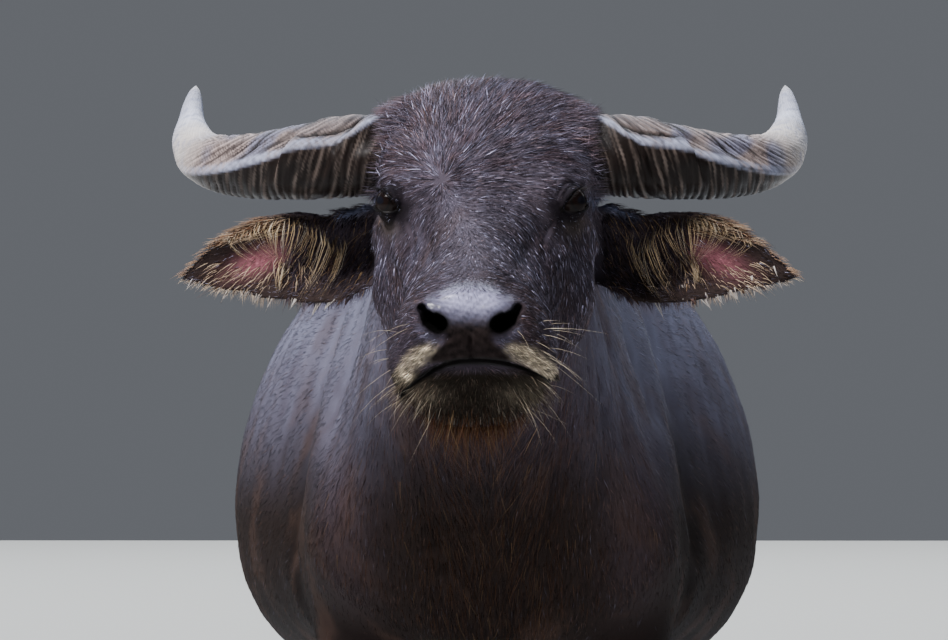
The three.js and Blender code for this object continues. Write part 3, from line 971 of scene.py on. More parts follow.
EYES = (EyeSocket(1), EyeSocket(-1))


@dataclass(frozen=True)
class Muzzle:
    """Nostrils, lips and mouth, in head space as seen from the front."""

    nostril: tuple[tuple[float, float], ...] = ((53, 1079), (49.5, 1073), (44, 1066.5), (34, 1061))
    nostril_radius: tuple[float, float] = (4.8, 10.2)
    nostril_depth: float = 33
    mouth: tuple[tuple[float, float], ...] = (
        (-84, 981), (-75, 987), (-66, 994), (-57, 1001), (-48, 1007.5), (-38, 1013), (-26, 1017.3),
        (-12, 1020), (2, 1021), (18, 1020.6), (34, 1019), (48, 1016.3), (60, 1012.6), (72, 1007.6),
        (82, 1002), (90, 996.5), (97, 990),
    )

    def from_nostril(self, points: Array) -> Array:
        """The distance from the nearer nostril's middle line over its half width.

        Args:
            points: points in head space.

        Returns:
            The distance of each, 1 at the edge.
        """
        front = np.stack([np.abs(points[:, 0]), points[:, 2]], 1)
        distance, place = along_path(front, np.array(self.nostril))
        start, end = self.nostril_radius
        return distance / (start + (end - start) * smooth(place, 0.1, 0.9))

    def opened(self, points: Array) -> Array:
        """How deep the nostril is by the place along it: a shallow groove at the outer end."""
        front = np.stack([np.abs(points[:, 0]), points[:, 2]], 1)
        return 0.4 + 0.6 * smooth(along_path(front, np.array(self.nostril))[1], 0.05, 0.5)

    def from_mouth(self, points: Array) -> tuple[Array, Array]:
        """The distance from the mouth's line, and how far above it a point lies.

        Args:
            points: points in head space.

        Returns:
            Both for each point.
        """
        line = np.array(self.mouth)
        distance, _ = along_path(points[:, [0, 2]], line)
        return distance, points[:, 2] - np.interp(points[:, 0], line[:, 0], line[:, 1])

    def shaped(self, points: Array, normals: Array) -> Array:
        """Opens the nostrils, cuts the mouth and rounds the lips.

        Args:
            points: the skin's points in head space.
            normals: its normals there.

        Returns:
            The moved points.
        """
        front = 1 - smooth(points[:, 1], -1075, -1045)
        spread = self.from_nostril(points)
        side = np.sign(points[:, 0])
        pit = (1 - smooth(spread, 0.3, 1.05)) * front * self.nostril_depth * self.opened(points)
        moved = points + normals * (0.8 * bell(spread - 1.5, 0.35) * front)[:, None]
        moved += pit[:, None] * columns(-0.1 * side, 1, 0.02)
        distance, above = self.from_mouth(points)
        front = 1 - smooth(points[:, 1], -1058, -1030)
        lips = -6.5 * bell(distance, 2.2) + 2.6 * bell(distance - 6.5, 4.5)
        lips += 1.5 * bell(above - 14, 9) * (distance < 40)
        moved += normals * (lips * front)[:, None]
        philtrum = bell(points[:, 0] - 2, 1.8) * smooth(points[:, 2], 1019, 1026)
        philtrum *= 1 - smooth(points[:, 2], 1042, 1054)
        return moved - normals * (4 * philtrum * front)[:, None]


MUZZLE = Muzzle()


def waves(points: Array, length: float, seed: int, count: int = 7) -> Array:
    """A smooth random field from -1 to 1, made of plane waves.

    Args:
        points: where to read it.
        length: the waves' mean length, in the points' unit.
        seed: picks the waves.
        count: how many waves are summed.

    Returns:
        The field's value at each point.
    """
    chance = np.random.default_rng(seed)
    total = np.zeros(len(points))
    for _ in range(count):
        way = unit(chance.normal(size=points.shape[1])) * chance.uniform(0.7, 1.5)
        total += np.sin(points @ way * (2 * math.pi / length) + chance.uniform(0, 2 * math.pi))
    return np.clip(total / math.sqrt(count) / 1.4, -1, 1)


# y and z of the horns' middle line near the head
HORN_LEVEL = (-697, 1262)


@dataclass
class Places:
    """Points of the animal, with the shares by which each of its regions is told.

    The head's turn is taken out of x, y and z, and out is the distance from the middle plane.
    """

    points: Array
    head: Array = field(init=False)
    x: Array = field(init=False)
    y: Array = field(init=False)
    z: Array = field(init=False)
    out: Array = field(init=False)

    def __post_init__(self) -> None:
        """Turns the points back with the head."""
        self.head = LAYOUT.turned(self.points, back=True)
        self.x, self.y, self.z = self.head.T
        self.out = np.abs(self.x)

    def face(self) -> Array:
        """1 on the head, 0 behind the poll and the throat."""
        return 1 - smooth(self.y, -690, -600)

    def ear(self) -> Array:
        """1 on the ears, 0 at their roots and elsewhere."""
        return smooth(self.out, 122, 146) * (1 - smooth(self.y, -640, -560)) * (self.z < 1215)

    def leg(self) -> Array:
        """1 on the lower legs, 0 above the elbow and the stifle."""
        return (1 - smooth(self.z, 520, 700)) * (self.y > -170)

    def tail(self) -> Array:
        """1 on the tail."""
        return smooth(self.y, 1200, 1228) * smooth(self.z, 560, 600) * (self.out < 60)

    def muzzle(self) -> Array:
        """1 on the nose and the lips."""
        return 1 - smooth(self.y, -1075, -1010)

    def nose_pad(self) -> Array:
        """1 on the bare skin between and over the nostrils.

        Returns:
            A share for each place.
        """
        top = 1106 - 17 * (self.out / 54) ** 2
        wide = 25 + 26 * smooth(self.z, 1046, 1080) + 20 * smooth(self.z, 1046, 1022)
        pad = smooth(self.z, 1014, 1022) * (1 - smooth(self.z, top - 14, top + 12))
        pad *= 1 - smooth(self.out, wide - 5, wide + 9)
        return pad * (1 - smooth(self.y, -1085, -1050))

    def lips(self) -> Array:
        """1 along the edges of the mouth.

        Returns:
            A share for each place.
        """
        distance, _ = MUZZLE.from_mouth(self.head)
        half = 1 - 0.5 * smooth(self.out, 35, 80)
        return (1 - smooth(distance / half, 2, 5.5)) * (1 - smooth(self.y, -1050, -1020))

    def inside_nostrils(self, full: float, none: float) -> Array:
        """1 in the nostrils, 0 outside; both limits are measured in half widths."""
        return 1 - smooth(MUZZLE.from_nostril(self.head), full, none)

    def from_horn(self, out: float, share: float) -> Array:
        """The distance from a point on a horn's middle line near the head.

        Args:
            out: how far that point lies from the middle plane.
            share: how much of the distance across the head counts.

        Returns:
            The distance of each place, in millimetres.
        """
        away = columns(self.out, self.y, self.z) - vec(out, *HORN_LEVEL)
        return np.linalg.norm(away * vec(share, 1, 1), axis=1)

    def eyes(self) -> Array:
        """How far points lie outside the nearer eye's opening; large away from the eyes.

        Returns:
            The gap at each place.
        """
        gap = np.full(len(self.points), 200.0)
        for eye in EYES:
            rows = eye.near(self.head)
            gap[rows] = np.minimum(gap[rows], eye.outside(self.head[rows]))
        return gap


class Tone:
    """The animal's colours, linear, with painted sheen, glints, light and shade among them."""

    CHARCOAL = vec(0.042, 0.033, 0.044)
    FLANK = vec(0.014, 0.0095, 0.0085)
    SHOULDER_LIGHT = vec(0.044, 0.031, 0.037)
    SHEEN = vec(0.105, 0.107, 0.150)
    BACK_SHEEN = vec(0.075, 0.074, 0.100)
    BROWN = vec(0.055, 0.032, 0.024)
    LEG = vec(0.052, 0.042, 0.036)
    STOCKING = vec(0.10, 0.082, 0.066)
    GLINT = vec(0.22, 0.215, 0.30)

    COOL_CHEEK = vec(0.062, 0.058, 0.085)
    BROW_LIGHT = vec(0.118, 0.098, 0.126)
    RUDDY = vec(0.070, 0.040, 0.043)
    BRIDGE = vec(0.112, 0.099, 0.125)
    OLIVE = vec(0.070, 0.056, 0.042)
    LID = vec(0.16, 0.10, 0.085)
    PAD_SHEEN = vec(0.225, 0.222, 0.335)
    NOSTRIL_EDGE = vec(0.10, 0.092, 0.135)
    LIP = vec(0.0088, 0.0062, 0.0060)
    BLACK = vec(0.008, 0.007, 0.007)
    CREAM = vec(0.44, 0.37, 0.27)
    CHIN = vec(0.0155, 0.012, 0.0092)

    EAR_SKIN = vec(0.020, 0.014, 0.013)
    EAR_WEB_SHEEN = vec(0.085, 0.095, 0.15)
    PINK = vec(0.25, 0.092, 0.112)

    RUST = vec(0.17, 0.075, 0.035)
    GOLD = vec(0.46, 0.30, 0.15)
    STRAW = vec(0.46, 0.34, 0.20)
    PALE_STRAW = vec(0.5, 0.43, 0.33)
    EDGE_STRAW = vec(0.36, 0.27, 0.19)
    FAN_STRAW = vec(0.40, 0.31, 0.22)
    WHISKER = vec(0.45, 0.38, 0.28)
    FROST = vec(0.15, 0.125, 0.09)
    BRIGHT_FROST = vec(0.4, 0.35, 0.28)
    WET_POINT = vec(0.36, 0.33, 0.31)
    UPPER_RIM = vec(0.30, 0.19, 0.12)
    LOWER_RIM = vec(0.40, 0.32, 0.24)


class HornTone:
    """The horns' colours, linear, with painted light, highlight and shade among them."""

    DARK = vec(0.006, 0.004, 0.0035)
    STRIPE = vec(0.075, 0.058, 0.050)
    PALE = vec(0.21, 0.165, 0.155)
    BLUISH = vec(0.14, 0.138, 0.19)
    FLECK = vec(0.055, 0.042, 0.040)
    LINE = vec(0.011, 0.008, 0.008)
    CREASE_SHADE = vec(0.004, 0.003, 0.003)
    STEP_SHADOW = vec(0.006, 0.005, 0.005)
    # painted highlight along the crest
    CREST = vec(0.19, 0.20, 0.265)
    TIP_SIDE = vec(0.34, 0.31, 0.29)
    TIP = vec(0.27, 0.28, 0.34)
    BLUE = vec(0.135, 0.145, 0.21)
    POINT = vec(0.36, 0.34, 0.31)
    GROOVE = vec(0.010, 0.0075, 0.0065)


class EyeTone:
    """The eyeballs' colours, linear."""

    BALL = vec(0.006, 0.004, 0.0035)
    IRIS = vec(0.005, 0.0032, 0.003)
    SPOKE = vec(0.008, 0.0045, 0.0035)
    RING = vec(0.003, 0.003, 0.003)
    PUPIL = vec(0.004, 0.004, 0.006)


class HoofTone:
    """The claws' colours, linear."""

    WALL = vec(0.045, 0.036, 0.030)
    PATCH = vec(0.085, 0.068, 0.052)
    EDGE = vec(0.13, 0.11, 0.085)


def painted(colour: Array, share: Array, over: Array) -> Array:
    """Lays one colour over others by a share."""
    return colour + np.clip(share, 0, 1)[:, None] * (over - colour)


@dataclass
class Markings:
    """The colour of the skin, which the coat takes too, with painted sheen, light and shade among the marks.
    """

    places: Places

    CREAM_PATHS = (
        ((-42, 1032), (-60, 1024), (-70, 1011), (-73, 1002)),
        ((46, 1031), (67, 1026), (88, 1008)),
    )
    # painted shade where the lips meet, as x and z in head space
    MOUTH_CORNER_SHADE = ((-80, 989), (98, 1001))

    def tone(self) -> Array:
        """The colour at each place, laid mark over mark.

        Returns:
            A row of red, green and blue for each place.
        """
        at = self.places
        patch = waves(at.head, 110, 5)
        fine = waves(at.head, 26, 9)
        tone = np.tile(Tone.CHARCOAL, (len(at.x), 1))
        body = 1 - at.face()
        tone = painted(tone, body * smooth(at.z, 1050, 820), Tone.FLANK)
        tone = painted(tone, body * smooth(at.z, 760, 620) * (1 - at.leg()), Tone.FLANK * 0.6)
        # painted shade on the barrel just behind the shoulder, where it curves away; the painted sheen below
        # is kept off there too
        behind = bell(at.y - 70, 120) * smooth(at.out, 200, 240) * smooth(at.z, 1080, 900)
        tone = painted(tone, 0.7 * behind * (1 - at.leg()), Tone.FLANK * 0.35)
        # painted light: the front of the shoulder is painted a lit purple-brown
        shoulder = bell(at.out - 185, 42) * bell(at.y + 230, 130) * bell(at.z - 860, 150)
        tone = painted(tone, 0.65 * shoulder * (1 - at.leg()), Tone.SHOULDER_LIGHT)
        # painted sheen: the upper sides of the body and neck are painted lighter and bluer, as sky light on
        # the coat, in soft streaks
        sheen = smooth(at.z, 800, 1110) * smooth(at.out, 90, 170) * (1 - 0.6 * behind)
        streak = waves(at.points * vec(1, 1, 0.22), 34, 17)
        tone = painted(tone, body * sheen * (0.8 + 0.15 * fine + 0.3 * streak), Tone.SHEEN)
        # painted sheen: the top of the back is painted lighter and bluer still
        tone = painted(tone, body * smooth(at.z, 1180, 1290) * 0.8, Tone.BACK_SHEEN)
        tone = painted(tone, 0.35 * smooth(patch + 0.4 * fine, 0.1, 0.9), Tone.BROWN)
        tone = painted(tone, 0.5 * at.leg() * smooth(at.z, 560, 420), Tone.LEG)
        stocking = smooth(at.z, 370, 300) * smooth(at.z, 120, 170) * at.leg()
        tone = painted(tone, 0.45 * stocking, Tone.STOCKING)
        tone = painted(tone, at.leg() * smooth(at.z, 125, 95), Tone.CHARCOAL * 0.6)
        tone = self.mouth_tone(self.face_tone(tone), fine)
        return self.ear_tone(self.eye_tone(tone))

    def face_tone(self, tone: Array) -> Array:
        """Adds the marks of the forehead, the nose bridge and the cheeks: painted light on the forehead, a
        partly painted sheen on the nose bridge, and painted shade on one cheek.

        Args:
            tone: the colours so far.

        Returns:
            The new colours.
        """
        at = self.places
        crown = at.face() * smooth(at.z, 1290, 1345) * smooth(at.out, 100, 60)
        tone = painted(tone, 0.35 * crown, Tone.BROWN)
        cool = smooth(waves(at.head, 60, 15), -0.2, 0.7) * at.face() * smooth(at.z, 1080, 1150)
        tone = painted(tone, 0.5 * cool, Tone.COOL_CHEEK)
        # painted light: the forehead is painted lighter and bluer, most on the animal's left side
        brow = at.face() * smooth(at.z, 1150, 1225) * smooth(at.z, 1370, 1335)
        tone = painted(tone, brow * (0.22 + 0.5 * smooth(at.x, -60, 50)), Tone.BROW_LIGHT)
        ruddy = smooth(waves(at.head, 42, 19), 0.0, 0.7) * at.face() * smooth(at.z, 1200, 1270)
        tone = painted(tone, 0.5 * ruddy, Tone.RUDDY)
        # the nose bridge is painted lighter and bluer: partly its own blue-grey hair, partly painted sheen
        # along its top
        bridge = at.face() * bell(at.x, 46) * smooth(at.z, 1095, 1125) * smooth(at.z, 1230, 1170)
        tone = painted(tone, 0.4 * bridge, Tone.BRIDGE)
        # painted shade: the cheek on the animal's left side is darkened
        shaded = 0.35 * at.face() * smooth(at.x, 58, 95) * smooth(at.z, 1220, 1160)
        return painted(tone, shaded, Tone.CHARCOAL * 0.5)

    def mouth_tone(self, tone: Array, fine: Array) -> Array:
        """Adds the nose pad with its painted sheen, the nostrils and the mouth's corners with painted shade,
        the lips, the chin and the cream marks beside the mouth.

        Args:
            tone: the colours so far.
            fine: a fine random field.

        Returns:
            The new colours.
        """
        at = self.places
        chin = at.muzzle() * smooth(at.z, 1016, 1004)
        tone = painted(tone, chin, Tone.CHIN)
        speck = waves(at.head, 9, 21)
        for path in self.CREAM_PATHS:
            distance, _ = along_path(at.head[:, [0, 2]], np.array(path, float))
            spot = 1 - smooth(distance, 4, 14.5)
            tone = painted(tone, spot * at.muzzle() * (0.75 + 0.35 * fine + 0.25 * speck), Tone.CREAM)
        frost = bell(at.z - 985, 12) * smooth(at.out, 10, 60) * at.muzzle()
        tone = painted(tone, 0.35 * frost * (0.7 + 0.5 * speck), Tone.CREAM * 0.6)
        # painted sheen: the top of the nose pad is painted pale blue-white, as sky light on the wet pad,
        # fading down to the dark lip colour
        light = smooth(at.z, 1052, 1092) ** 1.5 * (1 - 0.72 * smooth(np.abs(at.x - 1), 14, 46))
        light *= (0.85 + 0.3 * waves(at.head, 6, 22)) * (1 - 0.6 * smooth(at.z, 1090, 1108))
        grain = 1 + 0.5 * speck + 0.35 * waves(at.head, 4, 23)
        pad = Tone.LIP * grain[:, None] + light[:, None] * (Tone.PAD_SHEEN - Tone.LIP)
        tone = painted(tone, at.nose_pad(), pad)
        tone = painted(tone, at.lips(), Tone.BLACK)
        # painted shade: black spots in the mouth's corners
        for x, z in self.MOUTH_CORNER_SHADE:
            corner = bell(np.hypot(at.x - x, at.z - z), 10) * at.muzzle()
            tone = painted(tone, 1.5 * corner, Tone.BLACK * 0.5)
        # the nostrils are painted near black inside: partly their dark lining, partly painted shade over the
        # lit walls of the pits
        nostril = at.inside_nostrils(0.9, 1.65) * MUZZLE.opened(at.head) ** 0.3
        tone = painted(tone, nostril * (1 - smooth(at.y, -1070, -1040)), Tone.BLACK * 0.2)
        under = bell(MUZZLE.from_nostril(at.head) - 1.75, 0.4) * smooth(at.z, 1066, 1054)
        under = under * smooth(at.out, 25, 36) * at.muzzle()
        return painted(tone, 0.7 * under, Tone.NOSTRIL_EDGE)

    def eye_tone(self, tone: Array) -> Array:
        """Adds the dark rings, deepened with painted shade over the lids, the pale lower lids and the olive
        skin round the eyes.

        Args:
            tone: the colours so far.

        Returns:
            The new colours.
        """
        at = self.places
        gap = at.eyes()
        for eye in EYES:
            along, up, _ = eye.local(at.head).T
            near = bell(along, 26) * bell(up + 24, 13) * eye.near(at.head)
            tone = painted(tone, 0.75 * near, Tone.OLIVE)
            pale = bell(along - 8, 11) * bell(up + 17, 4.5) * eye.near(at.head)
            tone = painted(tone, 0.7 * pale, Tone.LID)
            rim = bell(gap - 4.6, 1.0) * bell(along - 9, 12) * (up < 2) * eye.near(at.head)
            tone = painted(tone, 0.5 * rim, Tone.LID)
        # dark skin round the eyes, deepened by painted shade over the lid folds
        tone = painted(tone, 0.92 * (1 - smooth(gap, 7, 25)), Tone.CHARCOAL * 0.15)
        return painted(tone, 1 - smooth(gap, 2.2, 6.0), Tone.BLACK * 0.6)

    def ear_tone(self, tone: Array) -> Array:
        """Adds the pink cup and the dark rims of the ears, and a painted sheen on the web of skin at their
        roots.

        Args:
            tone: the colours so far.

        Returns:
            The new colours.
        """
        at = self.places
        out, ear = at.out, at.ear()
        tone = painted(tone, ear, Tone.EAR_SKIN)
        # painted sheen: a blue-grey line along the web of skin from the ear's root up to the temple
        web = bell(at.z - (1211 - 0.42 * (out - 122)), 6) * smooth(out, 116, 124) * smooth(out, 184, 168)
        tone = painted(tone, web * at.face(), Tone.EAR_WEB_SHEEN)
        cup = bell(out - 266, 31) * bell(at.z - (1142 - 0.35 * (out - 266)), 15)
        return painted(tone, ear * 0.95 * cup * (at.y < -650), Tone.PINK)


@dataclass
class Lie:
    """The way the coat lies, as a direction at each place before it is laid on the skin."""

    places: Places
    whorl: tuple[float, float] = (-45, 1228)

    def direction(self) -> Array:
        """The wanted direction at each place, region by region.

        Returns:
            A unit row for each place.
        """
        at = self.places
        side = np.sign(at.x)
        way = unit(columns(0, 1, -0.32 - 0.5 * smooth(at.z, 1150, 800)))
        way = self.laid(way, smooth(at.z, 740, 660) * (at.y > 150), columns(0 * side, 1, 0))
        neck = smooth(at.y, -100, -300)
        way = self.laid(way, neck, columns(0.1 * side, 0.55, -0.85))
        throat = neck * smooth(at.out, 90, 40) * smooth(at.z, 1150, 1000)
        way = self.laid(way, throat, columns(0 * side, 0.1, -1))
        way = self.laid(way, at.leg(), columns(0 * side, 0.12, -1))
        way = self.laid(way, at.tail(), columns(0 * side, 0.1, -1))
        way = self.laid(way, at.face(), self.face(side))
        return self.laid(way, at.ear(), columns(0.9 * side, 0.1, -0.35))

    @staticmethod
    def laid(way: Array, share: Array, over: Array) -> Array:
        """Mixes one field of directions into another."""
        return unit(way + np.asarray(share)[:, None] * (unit(over) - way))

    def face(self, side: Array) -> Array:
        """The directions on the head: out of the whorl, down the nose, down the cheeks.

        Args:
            side: 1 on the animal's left, -1 on its right.

        Returns:
            A unit row for each place.
        """
        at = self.places
        away = columns(at.x - self.whorl[0], 40 * smooth(at.z, 1235, 1300), at.z - self.whorl[1])
        way = self.laid(unit(away), smooth(at.z, 1195, 1130), columns(0.12 * side, -0.5, -0.85))
        cheek = smooth(at.out, 84, 108) * smooth(at.z, 1240, 1190)
        way = self.laid(way, cheek, columns(0.1 * side, 0.25, -1))
        muzzle = at.muzzle() * smooth(at.out, 5, 30)
        way = self.laid(way, muzzle, columns(0.9 * side, 0.35, -0.45))
        chin = smooth(at.z, 1012, 985) * at.muzzle()
        way = self.laid(way, chin, columns(0.15 * side, 0.2, -1))
        jaw = smooth(at.z, 1030, 990) * smooth(at.y, -1040, -980)
        return self.laid(way, jaw, columns(0.1 * side, 0.9, -0.35))


@dataclass
class Skin:
    """The one skin of the animal, with its folds, colours and the lie of its coat."""

    base: BaseSkin = field(default_factory=BaseSkin)
    body_depth: float = 2.4
    head_depth: float = 1.6
    leg_depth: float = 2.6
    ear_depth: float = -0.4
    comb_passes: int = 14
    comb_step: float = 0.7
    shell: Shell = field(init=False)
    lie: Array = field(init=False)

    @staticmethod
    def longest(points: Array) -> Array:
        """The longest edge allowed at each place.

        Args:
            points: layout points.

        Returns:
            The length at each.
        """
        at = Places(points)
        allowed = np.full(len(points), 60.0)
        allowed[at.tail() > 0.5] = 11
        gap = at.eyes()
        allowed[gap < 30] = 2.7
        allowed[gap < 16] = 1.9
        front = at.y < -1040
        allowed[front & (MUZZLE.from_nostril(at.head) < 1.9)] = 1.9
        allowed[front & (MUZZLE.from_mouth(at.head)[0] < 11)] = 2.4
        allowed[(at.nose_pad() > 0.1) & (allowed > 3.4)] = 3.4
        return allowed

    def depth(self, at: Places) -> Array:
        """How far the skin lies under the tips of the coat.

        Args:
            at: the skin's points.

        Returns:
            The depth at each, in millimetres.
        """
        depth = self.body_depth + (self.head_depth - self.body_depth) * at.face()
        depth += (self.leg_depth - depth) * at.leg()
        depth += (self.ear_depth - depth) * at.ear()
        tail = self.leg_depth + self.base.tail_swelling - self.base.swelling
        depth += (tail - depth) * at.tail()
        bare = np.maximum(at.nose_pad(), at.lips())
        bare = np.maximum(bare, at.leg() * smooth(at.z, 130, 96))
        return depth * (1 - bare) + self.base.swelling

    def sculpt(self) -> Shell:
        """Builds the skin's form.

        Returns:
            The shell of triangles.
        """
        shell = self.base.smoothed()
        for _ in range(2):
            shell = shell.refined(self.longest)
        shell = shell.relaxed(2.5)
        at = Places(shell.points)
        normals = shell.normals()
        neck = smooth(at.y, -660, -600) * (1 - smooth(at.y, -250, -120))
        height = Relief(shell.points).height(BODY_RIDGES + LEG_RIDGES) * smooth(at.y, -260, -200)
        height += Relief(shell.points).height(NECK_RIDGES) * neck
        wrinkle = waves(shell.points * vec(1, 1, 0.45), 42, 12) * 1.1
        height += wrinkle * (1 - at.face()) * (1 - at.leg())
        height += self.collar(at)
        points = shell.points + normals * (height - self.depth(at))[:, None]
        head = LAYOUT.turned(points, back=True)
        turned = LAYOUT.turned(normals + vec(0, LAYOUT.head_pivot_y, 0), back=True, share=at.face())
        normals = turned - vec(0, LAYOUT.head_pivot_y, 0)
        front = at.face()[:, None]
        head = head + normals * (Relief(head).height(HEAD_RIDGES))[:, None] * front
        moved = MUZZLE.shaped(head, normals)
        for eye in EYES:
            moved = eye.shaped(moved, normals)
        shell = Shell(LAYOUT.turned(moved), shell.faces)
        at = Places(shell.points)
        rims = 4 * bell(MUZZLE.from_nostril(at.head) - 1.05, 0.45)
        rims = rims * (1 - smooth(at.y, -1060, -1030))
        return shell.relaxed(rims + 1.2 * (1 - smooth(at.y, -1070, -1040)))

    @staticmethod
    def collar(at: Places) -> Array:
        """The rough ring of skin where each horn comes out."""
        ring = bell(at.from_horn(102, 0.4) - 50, 7) * smooth(at.out, 70, 92)
        return ring * (4 + 1.5 * waves(at.head, 14, 3))

    def combed(self, at: Places) -> Array:
        """The lie of the coat, laid on the skin and evened out.

        Args:
            at: the skin's points.

        Returns:
            A unit row for each point.
        """
        normals, edges = self.shell.normals(), self.shell.edges()
        way = Lie(at).direction()
        way = unit(way - dot(way, normals) * normals)
        for _ in range(self.comb_passes):
            way = averaged(way, edges, self.comb_step, 1)
            way = unit(way - dot(way, normals) * normals)
        return way

    @staticmethod
    def shade(at: Places) -> Array:
        """How bright the skin is against the coat's colour there.

        Args:
            at: the skin's points.

        Returns:
            What each point's colour is multiplied by.
        """
        open_skin = np.clip(np.maximum(at.nose_pad(), at.lips()) + at.ear(), 0, 1)
        shade = 0.62 + 0.38 * open_skin
        shade *= 1 - 0.5 * (at.lips() * (1 - smooth(at.y, -1050, -1020)))
        return np.maximum(shade, 0.85 * (1 - at.face()))

    @staticmethod
    def wetness(at: Places) -> Array:
        """1 on the wet, bare nose, little on lips and lids, and below 0 in the nostrils.

        Args:
            at: the skin's points.

        Returns:
            The wetness of each point.
        """
        wet = at.nose_pad() * smooth(at.z, 1046, 1085) * (1 - 0.7 * smooth(at.out, 24, 40))
        wet = np.maximum(wet, at.lips() * 0.3)
        wet = np.maximum(wet, 0.1 * (1 - smooth(at.eyes(), 1, 3.5)))
        inside = at.inside_nostrils(0.9, 1.15) * (at.y < -1040)
        return wet * (1 - inside) - 1.5 * inside

    def make(self) -> bpy.types.Object:
        """Makes the skin with its colours, its wetness and the lie of its coat.

        Returns:
            The object.
        """
        self.shell = self.sculpt()
        at = Places(self.shell.points)
        self.lie = self.combed(at)
        mesh = self.shell.mesh("skin")
        Kind.COLOUR.store(mesh, "Tone", Markings(at).tone() * self.shade(at)[:, None])
        Kind.NUMBER.store(mesh, "Bare", self.wetness(at))
        Kind.VECTOR.store(mesh, "Comb", self.lie)
        return bpy.data.objects.new("skin", mesh)


# Node trees and finishes


@dataclass(frozen=True)
class Reading:
    """An output socket that can be reckoned with like a number or a vector."""

    graph: "Graph"
    socket: bpy.types.NodeSocket
    vector: bool = False

    def _with(self, operation: str, first: object, second: object) -> "Reading":
        """Adds a maths node that joins two values.

        Args:
            operation: what the node does with them.
            first: the first value or source.
            second: the second one.

        Returns:
            The node's output.
        """
        kind = "ShaderNodeVectorMath" if self.vector else "ShaderNodeMath"
        made = self.graph.node(kind, {"operation": operation}, {0: first, 1: second})
        return Reading(self.graph, made.outputs[0], self.vector)

    def __add__(self, other: object) -> "Reading":
        """Adds."""
        return self._with("ADD", self, other)

    def __radd__(self, other: object) -> "Reading":
        """Adds to a constant."""
        return self._with("ADD", other, self)

    def __sub__(self, other: object) -> "Reading":
        """Subtracts."""
        return self._with("SUBTRACT", self, other)

    def __rsub__(self, other: object) -> "Reading":
        """Subtracts from a constant."""
        return self._with("SUBTRACT", other, self)

    def __mul__(self, other: object) -> "Reading":
        """Multiplies."""
        return self._with("MULTIPLY", self, other)

    def __rmul__(self, other: object) -> "Reading":
        """Multiplies a constant."""
        return self._with("MULTIPLY", other, self)

    def scaled(self, by: object) -> "Reading":
        """A vector times a number."""
        made = self.graph.node("ShaderNodeVectorMath", {"operation": "SCALE"}, {0: self, "Scale": by})
        return Reading(self.graph, made.outputs[0], True)

    def dot(self, other: object) -> "Reading":
        """The dot product of two vectors."""
        made = self.graph.node("ShaderNodeVectorMath", {"operation": "DOT_PRODUCT"}, {0: self, 1: other})
        return Reading(self.graph, made.outputs["Value"])

    def limited(self, low: float, high: float) -> "Reading":
        """The value kept between two limits."""
        made = self.graph.node("ShaderNodeClamp", {}, {"Value": self, "Min": low, "Max": high})
        return Reading(self.graph, made.outputs[0])


@dataclass
class Graph:
    """A node tree under construction."""

    tree: bpy.types.NodeTree

    def node(self, kind: str, settings: dict, inputs: dict) -> bpy.types.Node:
        """Makes one node.

        Args:
            kind: the node's type.
            settings: its properties, set first.
            inputs: values or sources for its sockets, by name or by number.

        Returns:
            The new node.
        """
        made = self.tree.nodes.new(kind)
        for name, value in settings.items():
            setattr(made, name, value)
        for key, value in inputs.items():
            if isinstance(value, Reading):
                value = value.socket
            if isinstance(value, bpy.types.NodeSocket):
                self.tree.links.new(value, made.inputs[key])
            else:
                made.inputs[key].default_value = value
        return made

    def attribute(self, name: str, vector: bool = False) -> Reading:
        """Reads an attribute of the piece in a material, as a number or a vector."""
        made = self.node("ShaderNodeAttribute", {"attribute_name": name}, {})
        return Reading(self, made.outputs["Vector" if vector else "Fac"], vector)

    def place(self) -> Reading:
        """The object coordinates."""
        return Reading(self, self.node("ShaderNodeTexCoord", {}, {}).outputs["Object"], True)

    def noise(self, place: Reading, scale: float, detail: float = 2, rough: float = 0.5) -> Reading:
        """A noise texture's value."""
        inputs = {"Vector": place, "Scale": scale, "Detail": detail, "Roughness": rough}
        return Reading(self, self.node("ShaderNodeTexNoise", {}, inputs).outputs[0])

    def cells(self, place: Reading, scale: float) -> Reading:
        """The distance to the nearest cell middle of a cell texture."""
        inputs = {"Vector": place, "Scale": scale}
        return Reading(self, self.node("ShaderNodeTexVoronoi", {}, inputs).outputs["Distance"])


